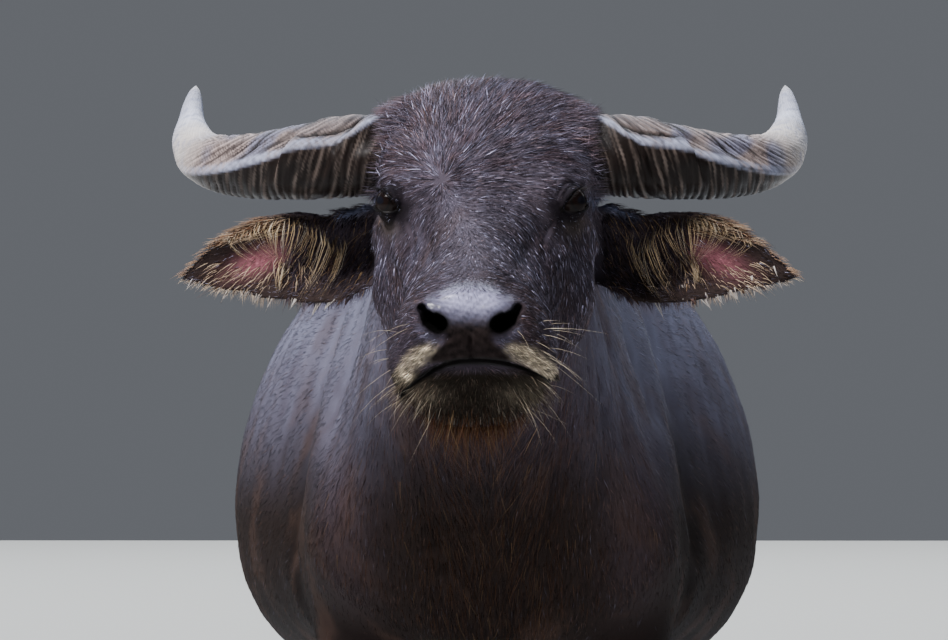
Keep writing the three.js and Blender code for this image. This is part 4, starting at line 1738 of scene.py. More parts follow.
@dataclass(frozen=True)
class Finish:
    """One material: its slot in the record, its gloss, and how its grain shows."""

    slot: str
    roughness: float
    specular: float = 0.5
    clear: float = 0
    cloudy: float = 0.04
    bump: float = 0.0006
    strength: float = 0.6
    contrast: float = 0.4

    def material(self) -> bpy.types.Material:
        """Makes the material.

        Returns:
            The material.
        """
        made = bpy.data.materials.new(self.slot)
        made.use_nodes = True
        graph = Graph(made.node_tree)
        shader = made.node_tree.nodes["Principled BSDF"]
        shader.inputs["Specular IOR Level"].default_value = self.specular
        shader.inputs["Coat Weight"].default_value = self.clear
        shader.inputs["Coat Roughness"].default_value = self.cloudy
        self.dress(graph, shader)
        return made

    def join(self, graph: Graph, shader: bpy.types.Node, share: Reading, rough: Reading,
             height: Reading | None) -> None:
        """Links colour, roughness and relief to the shader.

        Args:
            graph: the material's tree.
            shader: the principled shader.
            share: what the piece's own colour is multiplied by.
            rough: the roughness.
            height: the relief, from 0 to 1, or None for none.
        """
        colour = graph.attribute("Tone", True).scaled(share)
        graph.tree.links.new(colour.socket, shader.inputs["Base Color"])
        graph.tree.links.new(rough.socket, shader.inputs["Roughness"])
        if height is not None:
            inputs = {"Height": height, "Distance": self.bump, "Strength": self.strength}
            bump = graph.node("ShaderNodeBump", {}, inputs)
            graph.tree.links.new(bump.outputs[0], shader.inputs["Normal"])

    def dress(self, graph: Graph, shader: bpy.types.Node) -> None:
        """Gives the shader its textures.

        Args:
            graph: the material's tree.
            shader: its principled shader.
        """
        place = graph.place()
        grain = graph.noise(place, 90, 3)
        share = grain * self.contrast + (1 - self.contrast / 2)
        matt = (place.dot((0, 0, -2.0)) + 2.1).limited(0, 1) * 0.45
        self.join(graph, shader, share, grain * 0.1 + matt + (self.roughness - 0.05), None)


@dataclass(frozen=True)
class HideFinish(Finish):
    """Skin under short hair: combed grain, pores, and pebbles on the bare nose."""

    combed: float = 0.93

    def dress(self, graph: Graph, shader: bpy.types.Node) -> None:
        """Gives the skin its grain along the coat.

        Args:
            graph: the material's tree.
            shader: its principled shader.
        """
        place = graph.place()
        comb = graph.attribute("Comb", True)
        bare = graph.attribute("Bare")
        lines = place - comb.scaled(place.dot(comb) * self.combed)
        hair = graph.noise(lines, 620, 3, 0.6)
        blotch = graph.noise(place, 38, 3)
        pores = graph.noise(place, 420, 3)
        pebbles = graph.cells(place, 330)
        covered = 1 - bare
        share = hair * covered * self.contrast + blotch * 0.3 + (0.85 - self.contrast / 2)
        share = share + bare * (0.1 + self.contrast / 2)
        rough = hair * 0.16 + pores * 0.12 + (self.roughness - 0.12) - bare * 0.13
        wrinkles = graph.noise(place * (1.0, 0.5, 0.3), 520, 3, 0.55)
        height = hair * covered * 0.8 + pores * 0.3 + bare * (pebbles * 0.7 + wrinkles * 1.2)
        self.join(graph, shader, share, rough.limited(0.05, 1), height)
        wet = (bare * 0.42).limited(0, 1)
        graph.tree.links.new(wet.socket, shader.inputs["Coat Weight"])


@dataclass(frozen=True)
class HornFinish(Finish):
    """Horn: fibres along it and fine flakes."""

    def dress(self, graph: Graph, shader: bpy.types.Node) -> None:
        """Gives the horn its fibres.

        Args:
            graph: the material's tree.
            shader: its principled shader.
        """
        grain = graph.attribute("Grain", True)
        fibres = graph.noise(grain, 330, 4, 0.65)
        flakes = graph.noise(graph.place(), 110, 4, 0.55)
        share = fibres * 1.3 + flakes * 0.4 + 0.15
        rough = flakes * 0.35 + (self.roughness - 0.15)
        self.join(graph, shader, share, rough, fibres * 0.9 + flakes * 0.3)


@dataclass(frozen=True)
class WetFinish(Finish):
    """A wet, even surface with no grain."""

    def dress(self, graph: Graph, shader: bpy.types.Node) -> None:
        """Links the colour alone."""
        graph.tree.links.new(graph.attribute("Tone", True).socket, shader.inputs["Base Color"])
        shader.inputs["Roughness"].default_value = self.roughness


class Finishes(Enum):
    """The finishes of the model."""

    HIDE = HideFinish(
        "hide", roughness=0.7, specular=0.02, cloudy=0.2, bump=0.0009, strength=0.7, contrast=0.7,
    )
    COAT = Finish("coat", roughness=0.45, specular=0.03, contrast=0.3)
    HORN = HornFinish("horn", roughness=0.42, specular=0.06, bump=0.0012, strength=0.8)
    HOOF = HornFinish("hoof", roughness=0.5, specular=0.4, bump=0.0008, strength=0.6)
    EYE = WetFinish("eye", roughness=0.05, specular=0.05)


@dataclass
class Wardrobe:
    """Makes each material once and hands out finished pieces to the frame."""

    made: dict = field(default_factory=dict)

    def material(self, finish: Finishes) -> bpy.types.Material:
        """The material of a finish.

        Args:
            finish: the finish.

        Returns:
            The material, the same one each time.
        """
        if finish not in self.made:
            self.made[finish] = finish.value.material()
        return self.made[finish]

    def place(self, piece: bpy.types.Object, finish: Finishes, nodes: Sequence[str] = ()) -> None:
        """Puts a finished piece into the scene and the frame.

        Args:
            piece: the object.
            finish: its finish, which gives its slot too.
            nodes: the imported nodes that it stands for.
        """
        bpy.context.scene.collection.objects.link(piece)
        if not piece.data.materials:
            piece.data.materials.append(self.material(finish))
        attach(piece, "root")
        if nodes:
            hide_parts(*nodes)
        triangles = sum(len(face.vertices) - 2 for face in piece.data.polygons)
        log.info("%s: %d triangles", piece.name, triangles)


# Horns, eyes and hooves


@dataclass
class Horn:
    """One horn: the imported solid's form with growth ridges, steps and a sharp crest."""

    side: str
    rings: int = 290
    around: int = 104
    rays: tuple[int, int] = (56, 60)
    measured_to: float = 0.985
    tip_radius: float = 6.5
    ridge_spacing: float = 10.2

    PATH = (
        (78, -700, 1264), (150, -694, 1259), (215, -674, 1253), (280, -636, 1250),
        (328, -582, 1257), (353, -515, 1280), (361, -450, 1314), (358, -405, 1358),
    )

    # place, height and length of each step in the horn's front
    STEPS = ((0.288, 10.0, 0.12), (0.155, 4.0, 0.07), (0.40, 2.5, 0.08))

    # the crest's angle over the front, by the place along the horn
    CREST = (
        (0, 1.4), (0.06, 1.3), (0.1, 1.08), (0.14, 0.6), (0.18, 0.4), (0.25, 0.34), (0.3, 0.25),
        (0.4, 0.0), (0.5, -0.2), (0.62, -0.45), (0.8, -0.55), (1, -0.55),
    )

    def middle(self, share: Array) -> Array:
        """The middle line of the horn.

        Args:
            share: places along the length, from 0 at the head to 1 at the tip.

        Returns:
            The point at each place.
        """
        path = np.array(self.PATH, float)
        if self.side == "right":
            path = path * vec(-1, 1, 1)
        gone = np.append(0, np.cumsum(np.linalg.norm(np.diff(path, axis=0), axis=1)))
        gone /= gone[-1]
        return np.stack([curve_through(list(zip(gone, column)), share) for column in path.T], 1)

    def ring_axes(self, share: Array) -> tuple[Array, Array]:
        """The axes of the rings that the horn is made of.

        Args:
            share: places along the length.

        Returns:
            Up and forward at each place, square to the middle line.
        """
        step = self.middle(np.clip(share + 0.01, 0, 1)) - self.middle(np.clip(share - 0.01, 0, 1))
        along = unit(step)
        up = unit(vec(0, 0, 1) - along * along[:, 2:])
        return up, np.cross(up, along) * (-1 if self.side == "left" else 1)

    def measured(self) -> Array:
        """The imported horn's radius, from rays out of its middle line.

        Returns:
            The radius by ring and by angle.
        """
        solid = Shell.of_node(f"horn_{self.side}")
        tree = BVHTree.FromPolygons([tuple(p) for p in solid.points], [tuple(f) for f in solid.faces])
        share = np.linspace(0, self.measured_to, self.rays[0])
        centre = self.middle(share)
        up, front = self.ring_axes(share)
        radius = np.full(self.rays, np.nan)
        for i, j in np.ndindex(*self.rays):
            angle = 2 * math.pi * j / self.rays[1]
            way = up[i] * math.sin(angle) + front[i] * math.cos(angle)
            hit = tree.ray_cast(Vector(centre[i]), Vector(way))
            if hit[0] is not None:
                radius[i, j] = hit[3]
        for i in range(self.rays[0]):
            if np.isnan(radius[i]).any():
                radius[i] = radius[i - 1] * 0.8 if i else 40
        for _ in range(3):
            radius = (np.roll(radius, 1, 1) + np.roll(radius, -1, 1) + 2 * radius) / 4
            radius[1:-1] = (radius[:-2] + radius[2:] + 2 * radius[1:-1]) / 4
        return radius

    def radius(self, share: Array, angle: Array) -> Array:
        """The smooth horn's radius, blunt at the tip and closed there.

        Args:
            share: the place along the horn of each ring.
            angle: the angle of each point of a ring.

        Returns:
            The radius by ring and by angle.
        """
        table = self.measured()
        row = share / self.measured_to * (self.rays[0] - 1)
        low = np.clip(row.astype(int), 0, self.rays[0] - 2)
        part = np.clip(row - low, 0, 1)[:, None]
        closed = np.concatenate([table, table[:, :1]], 1)
        place = angle / (2 * math.pi) * self.rays[1]
        column = place.astype(int)
        rest = place - column
        fine = closed[:, column] * (1 - rest) + closed[:, column + 1] * rest
        radius = fine[low] * (1 - part) + fine[low + 1] * part
        radius *= (1 - 0.14 * bell(share - 0.88, 0.07))[:, None]
        blunt = self.tip_radius * np.sqrt(np.clip(1 - smooth(share, 0.975, 1.0) ** 2, 0, 1))
        radius = np.maximum(radius, (blunt * smooth(share, 0.9, 0.96))[:, None])
        end = np.sqrt(np.clip(1 - smooth(share, 0.96, 1.0) ** 2, 0, 1))
        return radius * (end[:, None] * 0.999 + 0.001)

    def make(self) -> bpy.types.Object:
        """Makes the horn with its colours and the lines of its grain.

        Returns:
            The object.
        """
        share = np.linspace(0, 1, self.rings)
        angle = np.linspace(0, 2 * math.pi, self.around, endpoint=False)
        centre = self.middle(share)
        up, front = self.ring_axes(share)
        way = up[:, None] * np.sin(angle)[None, :, None] + front[:, None] * np.cos(angle)[None, :, None]
        relief, groove = self.relief(share, angle)
        points = centre[:, None] + way * (self.radius(share, angle) + relief)[..., None]
        shell = Shell.lofted(points, centre[[0, -1]], self.side == "left").outward()
        mesh = shell.mesh(f"horn_{self.side}_skin")
        places = np.append(np.repeat(share, self.around), [0, 1])
        Kind.COLOUR.store(mesh, "Tone", self.tone(shell, places, np.append(groove.ravel(), [0, 0])))
        off = self.from_crest(share[:, None], angle[None])
        lines = np.stack([self.slant(share[:, None], off), 5 * np.sin(off), 5 * np.cos(off)], -1)
        lines = lines.reshape(-1, 3)
        Kind.VECTOR.store(mesh, "Grain", np.concatenate([lines, lines[[0, -1]]]) * MM)
        return bpy.data.objects.new(f"horn_{self.side}_relief", mesh)

    def relief(self, share: Array, angle: Array) -> tuple[Array, Array]:
        """Growth ridges, the crest and the steps.

        Args:
            share: the place along the horn of each ring.
            angle: the angle of each point of a ring.

        Returns:
            The height of the relief, and how deep in a groove each point lies, from 0 to 1.
        """
        grid = np.stack(np.meshgrid(share * 40, np.sin(angle) * 1.2, indexing="ij"), -1).reshape(-1, 2)
        shape = (len(share), len(angle))
        wander = waves(grid, 7, 31).reshape(shape)
        fine = waves(grid * vec(1, 2), 1.9, 32).reshape(shape)
        share = share[:, None]
        off = self.from_crest(share, angle[None])
        over = smooth(off, 0, 0.35) * smooth(off, 2.6, 2.0)
        turns = self.slant(share, off) / self.ridge_spacing + 0.6 * wander
        saw = turns % 1.0
        groove = bell(np.minimum(saw, 1 - saw), 0.17)
        fade = (1 - smooth(share, 0.5, 0.8)) * (1 - 0.85 * bell(off, 0.22))
        height = 0.9 - (1.6 + 1.2 * (1 - over)) * groove * fade * (0.6 + 0.4 * wander)
        height += 0.7 * saw * fade + 0.7 * fine * fade
        keen = 4.6 * np.exp(-np.abs(off) / 0.2) - 3.0 * bell(off - 0.55, 0.3) - 2.6 * bell(off + 0.55, 0.3)
        height += keen * (1 - smooth(share, 0.42, 0.75))
        height -= 3.0 * self.crease(share, off)
        front = smooth(off, -1.0, -0.1) * smooth(off, 2.4, 1.6)
        for at, tall, reach in self.STEPS:
            edge = at - 0.052 * np.clip(off, -1, 1.6) + 0.006 * wander
            step = (1 - smooth(share, edge, edge + 0.011)) * smooth(share, edge - reach, edge)
            height += tall * step * front * (0.25 + 0.75 * smooth(off, 1.1, 0.3))
        return height * smooth(share, 0.93, 0.75) * smooth(share, 0.0, 0.06), groove * fade

    def from_crest(self, share: Array, angle: Array) -> Array:
        """The angle of points round the horn, counted upwards from the crest."""
        return (angle - self.crest(share) + math.pi) % (2 * math.pi) - math.pi

    @staticmethod
    def crease(share: Array, off: Array) -> Array:
        """1 in the crease that runs over the crest near the head."""
        line = 0.34 + 0.35 * smooth(share, 0.24, 0.04)
        return bell(off - line, 0.06) * smooth(share, 0.03, 0.08) * smooth(share, 0.29, 0.24)

    @staticmethod
    def slant(share: Array, off: Array) -> Array:
        """Millimetres along the horn to the growth line through each point, which runs aslant."""
        return share * 430 + np.interp(off, (-math.pi, 0, 1.4, math.pi), (-53, 0, 64, -53))

    @staticmethod
    def crest(share: Array) -> Array:
        """The angle of the crest over the front, by the place along the horn."""
        return np.interp(share, *np.array(Horn.CREST).T)

    def tone(self, shell: Shell, share: Array, groove: Array) -> Array:
        """The colours: pale over the crest and near black and striped under it, partly as painted light and
        shade, with a painted highlight along the crest, painted shade in the crease and at the steps, and
        blue-white at the tip.

        Args:
            shell: the horn's shell.
            share: the place along the horn of each point.
            groove: how deep in a groove each point lies.

        Returns:
            The colour of each point.
        """
        centre = self.middle(share)
        up, front = self.ring_axes(share)
        away = shell.points - centre
        off = self.from_crest(share, np.arctan2((away * up).sum(1), (away * front).sum(1)))
        over = smooth(off, -0.12, 0.12) * smooth(off, 2.9, 2.3)
        patch = waves(shell.points, 60, 41)
        fine = waves(shell.points, 8, 42)
        slant = self.slant(share, off)
        grid = np.stack([slant, 3 * off], 1)
        stripe = 0.6 * waves(grid, 15, 43) + 0.9 * waves(grid, 7, 44) + 0.4 * waves(grid, 3.6, 46)
        broken = 0.5 + 0.5 * smooth(waves(shell.points, 40, 45), -0.4, 0.5)
        # under the crest the horn is near black, partly its own colour and partly painted shade, with its own
        # paler stripes
        tone = np.tile(HornTone.DARK, (len(off), 1))
        tone = painted(tone, 0.9 * smooth(stripe, 0.2, 0.7) * broken, HornTone.STRIPE)
        pale = np.tile(HornTone.PALE, (len(off), 1))
        pale = painted(pale, smooth(patch, -0.2, 0.6), HornTone.BLUISH)
        pale = pale * (0.62 + 0.38 * smooth(share, 0.2, 0.5))[:, None]
        pale = painted(pale, 0.6 * smooth(fine, 0.1, 0.9), HornTone.FLECK)
        lines = 0.9 * waves(grid, 17, 43) + 0.7 * waves(grid, 10, 44)
        lines = smooth(lines, -0.15, 0.3) * (0.3 + 0.7 * broken) * (1 - 0.6 * smooth(share, 0.4, 0.6))
        pale = painted(pale, 0.95 * lines, HornTone.LINE)
        # above the crest the horn is painted pale, partly its own colour and partly painted light, over its
        # flecks and growth lines
        tone = painted(tone, over * 0.95, pale)
        # painted shade in the crease over the crest
        tone = painted(tone, 1.2 * self.crease(share, off), HornTone.CREASE_SHADE)
        # painted shadow along the edge of each step
        for at, _, _ in self.STEPS:
            seam = bell(share - at + 0.052 * np.clip(off, -1, 1.6) - 0.012, 0.007)
            seam *= smooth(off, -0.2, 0.1)
            tone = painted(tone, seam * smooth(off, 2.4, 1.8), HornTone.STEP_SHADOW)
        # painted highlight: a blue-white band along the crest
        keen = smooth(off, -0.10, -0.02) * smooth(off, 0.27, 0.15) * smooth(share, 0.04, 0.12)
        tone = painted(tone, keen * (0.62 + 0.3 * fine + 0.2 * patch), HornTone.CREST)
        tip = smooth(share, 0.5, 0.7)
        tone = painted(tone, tip * smooth(off, -1.5, -0.7), HornTone.TIP_SIDE)
        # the outer horn turns pale towards the tip; its blue-white cast is partly its own colour and partly
        # painted sheen
        tone = painted(tone, smooth(share, 0.64, 0.84), HornTone.TIP * (1 + 0.3 * patch[:, None]))
        blue = smooth(waves(shell.points, 22, 47) + 0.5 * fine, 0.1, 0.9) * smooth(share, 0.55, 0.7)
        tone = painted(tone, 0.55 * blue, HornTone.BLUE)
        tone = painted(tone, smooth(share, 0.95, 1.0) * 0.6, HornTone.POINT)
        dark = 0.9 * groove * (1 - smooth(share, 0.5, 0.75)) * (0.5 + 0.5 * broken) * (1 - 0.4 * keen)
        return painted(tone, dark, HornTone.GROOVE)


@dataclass
class EyeBall:
    """One eye: a wet ball with a bulging cornea, a brown iris and a level pupil."""

    socket: EyeSocket
    rings: int = 60
    around: int = 72
    bulge: float = 1.1

    def make(self) -> bpy.types.Object:
        """Makes the ball with its colours.

        Returns:
            The object.
        """
        polar = np.linspace(0, math.pi, self.rings) ** 1.25 / math.pi**0.25
        turn = np.linspace(0, 2 * math.pi, self.around, endpoint=False)
        angle, spin = np.meshgrid(polar[1:-1], turn, indexing="ij")
        local = np.stack([np.sin(angle) * np.cos(spin), np.sin(angle) * np.sin(spin), np.cos(angle)], -1)
        local = np.concatenate([local.reshape(-1, 3), [[0, 0, 1], [0, 0, -1]]])
        off = np.arccos(np.clip(local[:, 2], -1, 1))
        radius = self.socket.radius - 0.3 + self.bulge * bell(off, 0.52)
        points = self.socket.centre + (local * radius[:, None]) @ self.socket.axes
        points = LAYOUT.turned(points, share=1.0)
        shell = Shell.lofted(points[:-2].reshape(*angle.shape, 3), points[-2:]).outward()
        name = "eye_left_ball" if self.socket.side > 0 else "eye_right_ball"
        mesh = shell.mesh(name)
        Kind.COLOUR.store(mesh, "Tone", self.tone(local, off))
        return bpy.data.objects.new(name, mesh)

    @staticmethod
    def tone(local: Array, off: Array) -> Array:
        """The colours of the iris and its level pupil.

        Args:
            local: each point's direction, by the socket's axes.
            off: its angle off the axis out of the head.

        Returns:
            The colour of each point.
        """
        spoke = waves(local[:, :2], 0.12, 51)
        tone = np.tile(EyeTone.BALL, (len(local), 1))
        iris = 1 - smooth(off, 0.66, 0.74)
        tone = painted(tone, iris, EyeTone.IRIS)
        tone = painted(tone, iris * (0.4 + 0.4 * spoke) * smooth(off, 0.2, 0.5), EyeTone.SPOKE)
        tone = painted(tone, bell(off - 0.72, 0.06), EyeTone.RING)
        pupil = np.sqrt((local[:, 0] / 0.36) ** 2 + (local[:, 1] / 0.22) ** 2)
        return painted(tone, (1 - smooth(pupil, 0.85, 1.1)) * (local[:, 2] > 0), EyeTone.PUPIL)


@dataclass
class Hooves:
    """All claws and dewclaws, rounded, with growth rings round the walls."""

    voxel: float = 4.6
    dewclaw_voxel: float = 2.6
    ring_spacing: float = 9

    def names(self) -> list[str]:
        """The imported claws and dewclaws."""
        return [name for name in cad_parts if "claw" in name]

    def claw(self, name: str) -> Shell:
        """One claw with rounded edges and rings.

        Args:
            name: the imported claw.

        Returns:
            The claw's shell.
        """
        size = self.voxel if name.startswith("claw") else self.dewclaw_voxel
        fine = Shell.of_node(name).voxelled(size).relaxed(3.2).triangles()
        normals, points = fine.normals(), fine.points
        level = points[:, 2] + 0.10 * (points[:, 1] - points[:, 1].mean())
        rings = np.sin(level * (2 * math.pi / self.ring_spacing) + waves(points, 40, 7))
        wall = smooth(np.abs(normals[:, 2]), 0.8, 0.5) * smooth(points[:, 2], 4, 14)
        chips = waves(points, 17, 8) * 0.5
        points = points + normals * ((0.55 * rings + chips - 0.5) * wall)[:, None]
        points[:, 2] = np.maximum(points[:, 2], 0.2)
        return Shell(points, fine.faces)

    def make(self) -> bpy.types.Object:
        """Joins the claws in one piece and colours it.

        Returns:
            The object.
        """
        shell = Shell.joined([self.claw(name) for name in self.names()])
        mesh = shell.mesh("hooves")
        level = shell.points[:, 2]
        tone = np.tile(HoofTone.WALL, (len(level), 1))
        tone = painted(tone, 0.4 + 0.4 * waves(shell.points * vec(1, 1, 3), 40, 61), HoofTone.PATCH)
        tone = painted(tone, smooth(level, 16, 2) * 0.6, HoofTone.EDGE)
        Kind.COLOUR.store(mesh, "Tone", tone)
        Kind.VECTOR.store(mesh, "Grain", shell.points * vec(1, 1, 0.1) * MM)
        return bpy.data.objects.new("hooves", mesh)


# Coat


@dataclass
class Roots:
    """Where tufts stand, and the size, way and colour of each."""

    place: Array
    lie: Array
    up: Array
    length: Array
    width: Array
    tone: Array
    bend: Array
    flat: float = 0.5

    PARTS = ("place", "lie", "up", "length", "width", "tone", "bend")

    def taken(self, picked: Array) -> "Roots":
        """Some of the roots."""
        return Roots(*(getattr(self, part)[picked] for part in self.PARTS), self.flat)

    @classmethod
    def together(cls, groups: Sequence["Roots"]) -> "Roots":
        """Several groups as one."""
        joined = (np.concatenate([getattr(group, part) for group in groups]) for part in cls.PARTS)
        return cls(*joined, groups[0].flat)

    def chart(self) -> Array:
        """Each root's place on the skin, unrolled round the region's own axis to fill the square.

        Returns:
            A place from 0 to 1 both ways for each root.
        """
        low, high = np.quantile(self.place, 0.01, axis=0), np.quantile(self.place, 0.99, axis=0)
        span = high - low
        centre = (low + high) / 2
        along, other = (2, 1) if span[2] > 1.4 * span[1] else (1, 2)
        across = self.place[:, 0] - centre[0]
        turn = np.arctan2(across, self.place[:, other] - centre[other]) / (2 * math.pi) + 0.5
        return np.stack([ranked(turn), ranked(self.place[:, along])], 1) * 0.97 + 0.012


def ranked(values: Array) -> Array:
    """Spreads values over 0 to 1, a little by size and the rest by rank.

    Args:
        values: any numbers.

    Returns:
        The place of each of them.
    """
    order = np.argsort(np.argsort(values, kind="stable"), kind="stable") / max(len(values) - 1, 1)
    size = (values - values.min()) / max(values.max() - values.min(), 1e-9)
    return 0.15 * size + 0.85 * order


@dataclass
class TuftTree:
    """The node tree that stands one closed, tapered tuft on each root and bends it."""

    sides: int = 3
    patch: float = 0.003
    tree: bpy.types.GeometryNodeTree = field(init=False)

    INPUTS = (
        ("Roots", "NodeSocketGeometry"), ("Segments", "NodeSocketInt"),
        ("Patch", "NodeSocketFloat"), ("Finish", "NodeSocketMaterial"),
    )

    def __post_init__(self) -> None:
        """Builds the tree."""
        self.tree = bpy.data.node_groups.new("Tufts", "GeometryNodeTree")
        sockets = self.tree.interface
        for name, kind in self.INPUTS:
            sockets.new_socket(name=name, in_out="INPUT", socket_type=kind)
        sockets.new_socket(name="Coat", in_out="OUTPUT", socket_type="NodeSocketGeometry")
        graph = Graph(self.tree)
        entry = graph.node("NodeGroupInput", {}, {}).outputs
        solid = self.stood(graph, entry)
        parts = graph.node("ShaderNodeSeparateXYZ", {}, {0: self.named(graph, "local")})
        along = Reading(graph, parts.outputs["Z"])
        bend = Reading(graph, self.named(graph, "bend"), True).scaled(along * along)
        bent = graph.node("GeometryNodeSetPosition", {}, {"Geometry": solid, "Offset": bend})
        across = Reading(graph, parts.outputs["Y"]) * 0.5 + 0.5
        spread = graph.node(
            "ShaderNodeCombineXYZ", {}, {"X": across * entry["Patch"], "Y": along * entry["Patch"]}
        )
        chart = Reading(graph, self.named(graph, "chart"), True) + spread.outputs[0]
        mapped = graph.node(
            "GeometryNodeStoreNamedAttribute", {"data_type": "FLOAT2", "domain": "CORNER"},
            {"Geometry": bent.outputs[0], "Name": "OFBake", "Value": chart},
        )
        done = graph.node(
            "GeometryNodeSetMaterial", {},
            {"Geometry": mapped.outputs[0], "Material": entry["Finish"]},
        )
        graph.node("NodeGroupOutput", {}, {"Coat": done.outputs[0]})

    def stood(self, graph: Graph, entry: bpy.types.NodeOutputs) -> bpy.types.NodeSocket:
        """Stands a straight tuft on each root.

        Args:
            graph: the tree.
            entry: the tree's inputs.

        Returns:
            The tufts as real geometry, with each point's place in its own tuft.
        """
        cone = graph.node(
            "GeometryNodeMeshCone", {"fill_type": "NGON"},
            {"Vertices": self.sides, "Side Segments": entry["Segments"], "Radius Top": 0.0,
             "Radius Bottom": 1.0, "Depth": 1.0},
        )
        spot = graph.node("GeometryNodeInputPosition", {}, {}).outputs[0]
        tuft = graph.node(
            "GeometryNodeStoreNamedAttribute", {"data_type": "FLOAT_VECTOR", "domain": "POINT"},
            {"Geometry": cone.outputs["Mesh"], "Name": "local", "Value": spot},
        )
        turn = graph.node(
            "FunctionNodeAxesToRotation", {"primary_axis": "Z", "secondary_axis": "X"},
            {0: self.named(graph, "lie"), 1: self.named(graph, "up")},
        )
        stood = graph.node(
            "GeometryNodeInstanceOnPoints", {},
            {"Points": entry["Roots"], "Instance": tuft.outputs[0],
             "Rotation": turn.outputs[0], "Scale": self.named(graph, "size")},
        )
        return graph.node("GeometryNodeRealizeInstances", {}, {"Geometry": stood.outputs[0]}).outputs[0]

    @staticmethod
    def named(graph: Graph, name: str) -> bpy.types.NodeSocket:
        """Reads a vector attribute of the roots."""
        made = graph.node("GeometryNodeInputNamedAttribute", {"data_type": "FLOAT_VECTOR"}, {"Name": name})
        return made.outputs[0]

    def grown(self, name: str, roots: Roots, segments: int, finish: bpy.types.Material) -> bpy.types.Object:
        """Grows a piece of coat.

        Args:
            name: the piece's name.
            roots: where the tufts stand.
            segments: how many lengthwise stretches each tuft has.
            finish: the material.

        Returns:
            The coat piece as a plain mesh object.
        """
        mesh = bpy.data.meshes.new(f"{name}_roots")
        mesh.vertices.add(len(roots.place))
        mesh.vertices.foreach_set("co", LAYOUT.to_frame(roots.place).astype(np.float32).ravel())
        size = np.stack([roots.width * roots.flat, roots.width, roots.length], 1) * MM
        size[:, :2] /= 2
        chart = roots.chart()
        vectors = {"lie": roots.lie, "up": roots.up, "size": size, "bend": roots.bend * MM,
                   "chart": columns(chart[:, 0], chart[:, 1], 0)}
        for key, values in vectors.items():
            Kind.VECTOR.store(mesh, key, values)
        Kind.COLOUR.store(mesh, "Tone", roots.tone)
        seedbed = linked(f"{name}_roots", mesh)
        modifier = seedbed.modifiers.new("tufts", "NODES")
        modifier.node_group = self.tree
        keys = {item.name: item.identifier for item in self.tree.interface.items_tree
                if item.in_out == "INPUT"}
        modifier[keys["Segments"]] = segments
        modifier[keys["Patch"]] = self.patch
        modifier[keys["Finish"]] = finish
        grown = settled(seedbed)
        for key in list(vectors) + ["local"]:
            if key in grown.attributes:
                grown.attributes.remove(grown.attributes[key])
        grown.name = name
        grown.polygons.foreach_set("use_smooth", np.ones(len(grown.polygons), bool))
        return bpy.data.objects.new(name, grown)


@dataclass
class Pelt:
    """The skin read at random places, for rooting tufts."""

    skin: Skin
    chance: np.random.Generator = field(default_factory=lambda: np.random.default_rng(77))
    centre: Array = field(init=False)
    area: Array = field(init=False)
    normals: Array = field(init=False)

    def __post_init__(self) -> None:
        """Measures the skin's triangles."""
        shell = self.skin.shell
        a, b, c = (shell.points[shell.faces[:, i]] for i in range(3))
        self.centre = (a + b + c) / 3
        self.area = np.linalg.norm(np.cross(b - a, c - a), axis=1) / 2
        self.normals = shell.normals()

    def scattered(self, density: Array, count: int) -> tuple[Array, Array, Array]:
        """Random places on the skin.

        Args:
            density: how thickly each triangle is planted.
            count: how many places.

        Returns:
            The places, the normals and the lie of the coat there.
        """
        total = np.cumsum(density * self.area)
        picks = (np.arange(count) + self.chance.random(count)) / count * total[-1]
        face = self.skin.shell.faces[np.searchsorted(total, picks).clip(0, len(total) - 1)]
        u, v = self.chance.random((2, count))
        over = u + v > 1
        u[over], v[over] = 1 - u[over], 1 - v[over]
        weights = np.stack([1 - u - v, u, v], 1)[..., None]
        fields = (self.skin.shell.points, self.normals, self.skin.lie)
        place, normal, lie = ((values[face] * weights).sum(1) for values in fields)
        return place, unit(normal), unit(lie)

    def hair(self, place: Array, normal: Array, lie: Array, length: Array, width: Array | float,
             lift: Array | float, tone: Array, jitter: Array | float = 0.2, vary: Array | float = 0.35,
             flat: float = 0.6, droop: float = 0) -> Roots:
        """Turns places into tufts with some disorder.

        Args:
            place: root points.
            normal: the skin's normals there.
            lie: the way each tuft points along the skin.
            length: tuft lengths in millimetres.
            width: tuft widths in millimetres.
            lift: the mean slope off the skin, in radians.
            tone: tuft colours.
            jitter: how far the tufts stray sideways, in radians.
            vary: how far their brightness strays.
            flat: thickness over width.
            droop: how far the tips sink, in millimetres.

        Returns:
            The roots.
        """
        count = len(place)
        side = np.cross(normal, lie)
        stray = (self.chance.normal(0, 1, count) * jitter)[:, None]
        rise = np.abs(lift * self.chance.normal(1, 0.5, count))[:, None]
        way = unit(lie * np.cos(stray) + side * np.sin(stray))
        way = unit(way * np.cos(rise) + normal * np.sin(rise))
        length = length * self.chance.uniform(0.65, 1.2, count)
        width = width * self.chance.uniform(0.7, 1.25, count)
        bright = np.exp(vary * self.chance.normal(0, 1, count))[:, None]
        bend = side * (length * self.chance.normal(0, 0.10, count))[:, None]
        bend = bend + vec(0, 0, -droop)
        bend = bend - normal * (length * 0.25 * rise[:, 0])[:, None]
        return Roots(place - normal * 0.5, way, normal, length, width, tone * bright, bend, flat)


